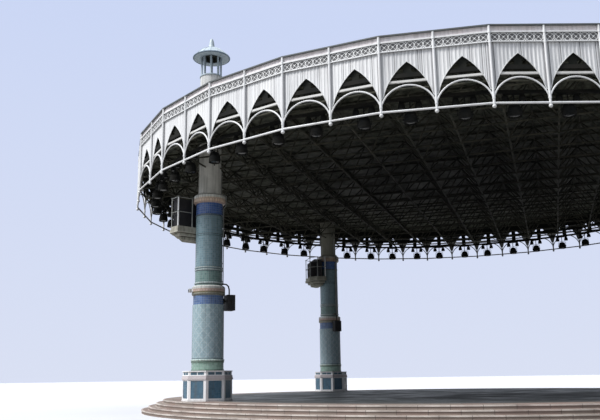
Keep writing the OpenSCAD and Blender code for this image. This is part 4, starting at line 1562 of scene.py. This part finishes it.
def makeFloodlights():
    bodies, glass = Shape(), Shape()
    f = floodSizes
    for number in range(1, 5):
        place = columnPlace(number) @ at(f["start"], 0, f["middle"])
        bodies.box((0.006, 0, 0), (0.016, 0.12, 0.12), place, ease=0.003)
        bodies.tube([(0.0, 0, 0), (0.05, 0, 0), (0.085, 0, 0)], 0.02, 8, place=place)
        bodies.box((0.118, 0, 0), (0.066, f["wide"] - 0.02, f["high"] - 0.02), place, ease=0.012)
        bodies.box((0.166, 0, 0), (0.032, f["wide"], f["high"]), place, ease=0.006)
        for k in range(7):
            bodies.box((0.100, (k - 3) * 0.028, 0), (0.05, 0.006, f["high"] + 0.004), place)
        bodies.box((0.175, 0, f["high"] / 2 - 0.003), (0.03, f["wide"], 0.006), place)
        glass.box((0.183, 0, -0.004), (0.006, f["wide"] - 0.04, f["high"] - 0.045), place, ease=0.002)
    bodies.make("floodlightBodies", finishes["white"], "white_paint", replaces=["floodlights"])
    glass.make("floodlightGlass", finishes["lens"], "black_case")


makeFloodlights()
print("column pieces made")


# Camera, fitted to the posts of the canopy in the photograph
cameraView = {"place": (4.992, -41.006, 1.584), "yaw": -18.454, "pitch": 12.69, "roll": 0.815,
              "lens": 44.486}


def makeCamera():
    yaw, pitch, roll = (math.radians(cameraView[key]) for key in ("yaw", "pitch", "roll"))
    ahead = Vector((math.sin(yaw) * math.cos(pitch), math.cos(yaw) * math.cos(pitch), math.sin(pitch)))
    right = Vector((math.cos(yaw), -math.sin(yaw), 0))
    up = right.cross(ahead)
    turnedRight = right * math.cos(roll) - up * math.sin(roll)
    turnedUp = up * math.cos(roll) + right * math.sin(roll)
    data = bpy.data.cameras.new("camera")
    data.lens = cameraView["lens"]
    data.sensor_width = 36
    data.clip_end = 2000
    camera = bpy.data.objects.new("camera", data)
    camera.matrix_world = Matrix((
        (turnedRight.x, turnedUp.x, -ahead.x, cameraView["place"][0]),
        (turnedRight.y, turnedUp.y, -ahead.y, cameraView["place"][1]),
        (turnedRight.z, turnedUp.z, -ahead.z, cameraView["place"][2]),
        (0, 0, 0, 1)))
    bpy.context.scene.collection.objects.link(camera)
    bpy.context.scene.camera = camera


studio = {"horizon": 0.20, "overhead": 1.1, "sun": 3.55, "softness": 16, "direction": (0.68, 0.59, -1.07),
          "left": (-0.95, -0.31), "dimmer": 0.30, "brighter": 2.0, "tint": (0.86, 0.92, 1.04)}


def makeStudio():
    # Pale floor, pale sky dome and one broad soft light
    floorFinish = Finish("paleFloor", 0.9)
    mask = floorFinish.wear(0.05, 1.0)
    pale = mix(mask["Blotch"], (0.6, 0.61, 0.64), (0.64, 0.65, 0.68))
    direct = read(floorFinish.tree, "ShaderNodeLightPath", "Is Camera Ray")
    floorFinish.colour(mix(direct, (0.235, 0.23, 0.22), pale))
    shape = Shape()
    count = 60
    turns = [2 * math.pi * k / count for k in range(count)]
    rim = [(600.0 * math.cos(a), 600.0 * math.sin(a), -0.002) for a in turns]
    shape.add([(0, 0, -0.002)] + rim, [(0, k + 1, (k + 1) % count + 1) for k in range(count)])
    mesh = bpy.data.meshes.new("studioFloor")
    mesh.from_pydata([tuple(v) for v in shape.verts], [], shape.faces)
    floor = bpy.data.objects.new("studioFloor", mesh)
    bpy.context.scene.collection.objects.link(floor)
    mesh.materials.append(floorFinish.material)
    world = bpy.data.worlds.new("studio")
    bpy.context.scene.world = world
    world.use_nodes = True
    tree = world.node_tree
    background = tree.nodes["Background"].inputs
    seen = read(tree, "ShaderNodeLightPath", "Is Camera Ray")
    x, y, up = split(read(tree, "ShaderNodeTexCoord", "Generated"))
    left = x * studio["left"][0] + y * studio["left"][1]
    sky = mix(remap(up, 0.0, 0.45), (0.7, 0.75, 0.9), (0.6, 0.68, 0.91))
    plug(mix(seen, studio["tint"], sky), background["Color"])
    around = remap(up, 0.05, 0.9, studio["horizon"], studio["overhead"])
    around = around * remap(left, -1.0, 1.0, studio["dimmer"], studio["brighter"])
    plug(blend(seen, around, 1.0), background["Strength"])
    sun = bpy.data.lights.new("softLight", "SUN")
    sun.energy = studio["sun"]
    sun.angle = math.radians(studio["softness"])
    sun.color = (1.0, 0.975, 0.94)
    lamp = bpy.data.objects.new("softLight", sun)
    lamp.rotation_euler = Vector(studio["direction"]).to_track_quat("-Z", "Y").to_euler()
    bpy.context.scene.collection.objects.link(lamp)
    bpy.context.scene.view_settings.view_transform = "Standard"


makeCamera()
makeStudio()
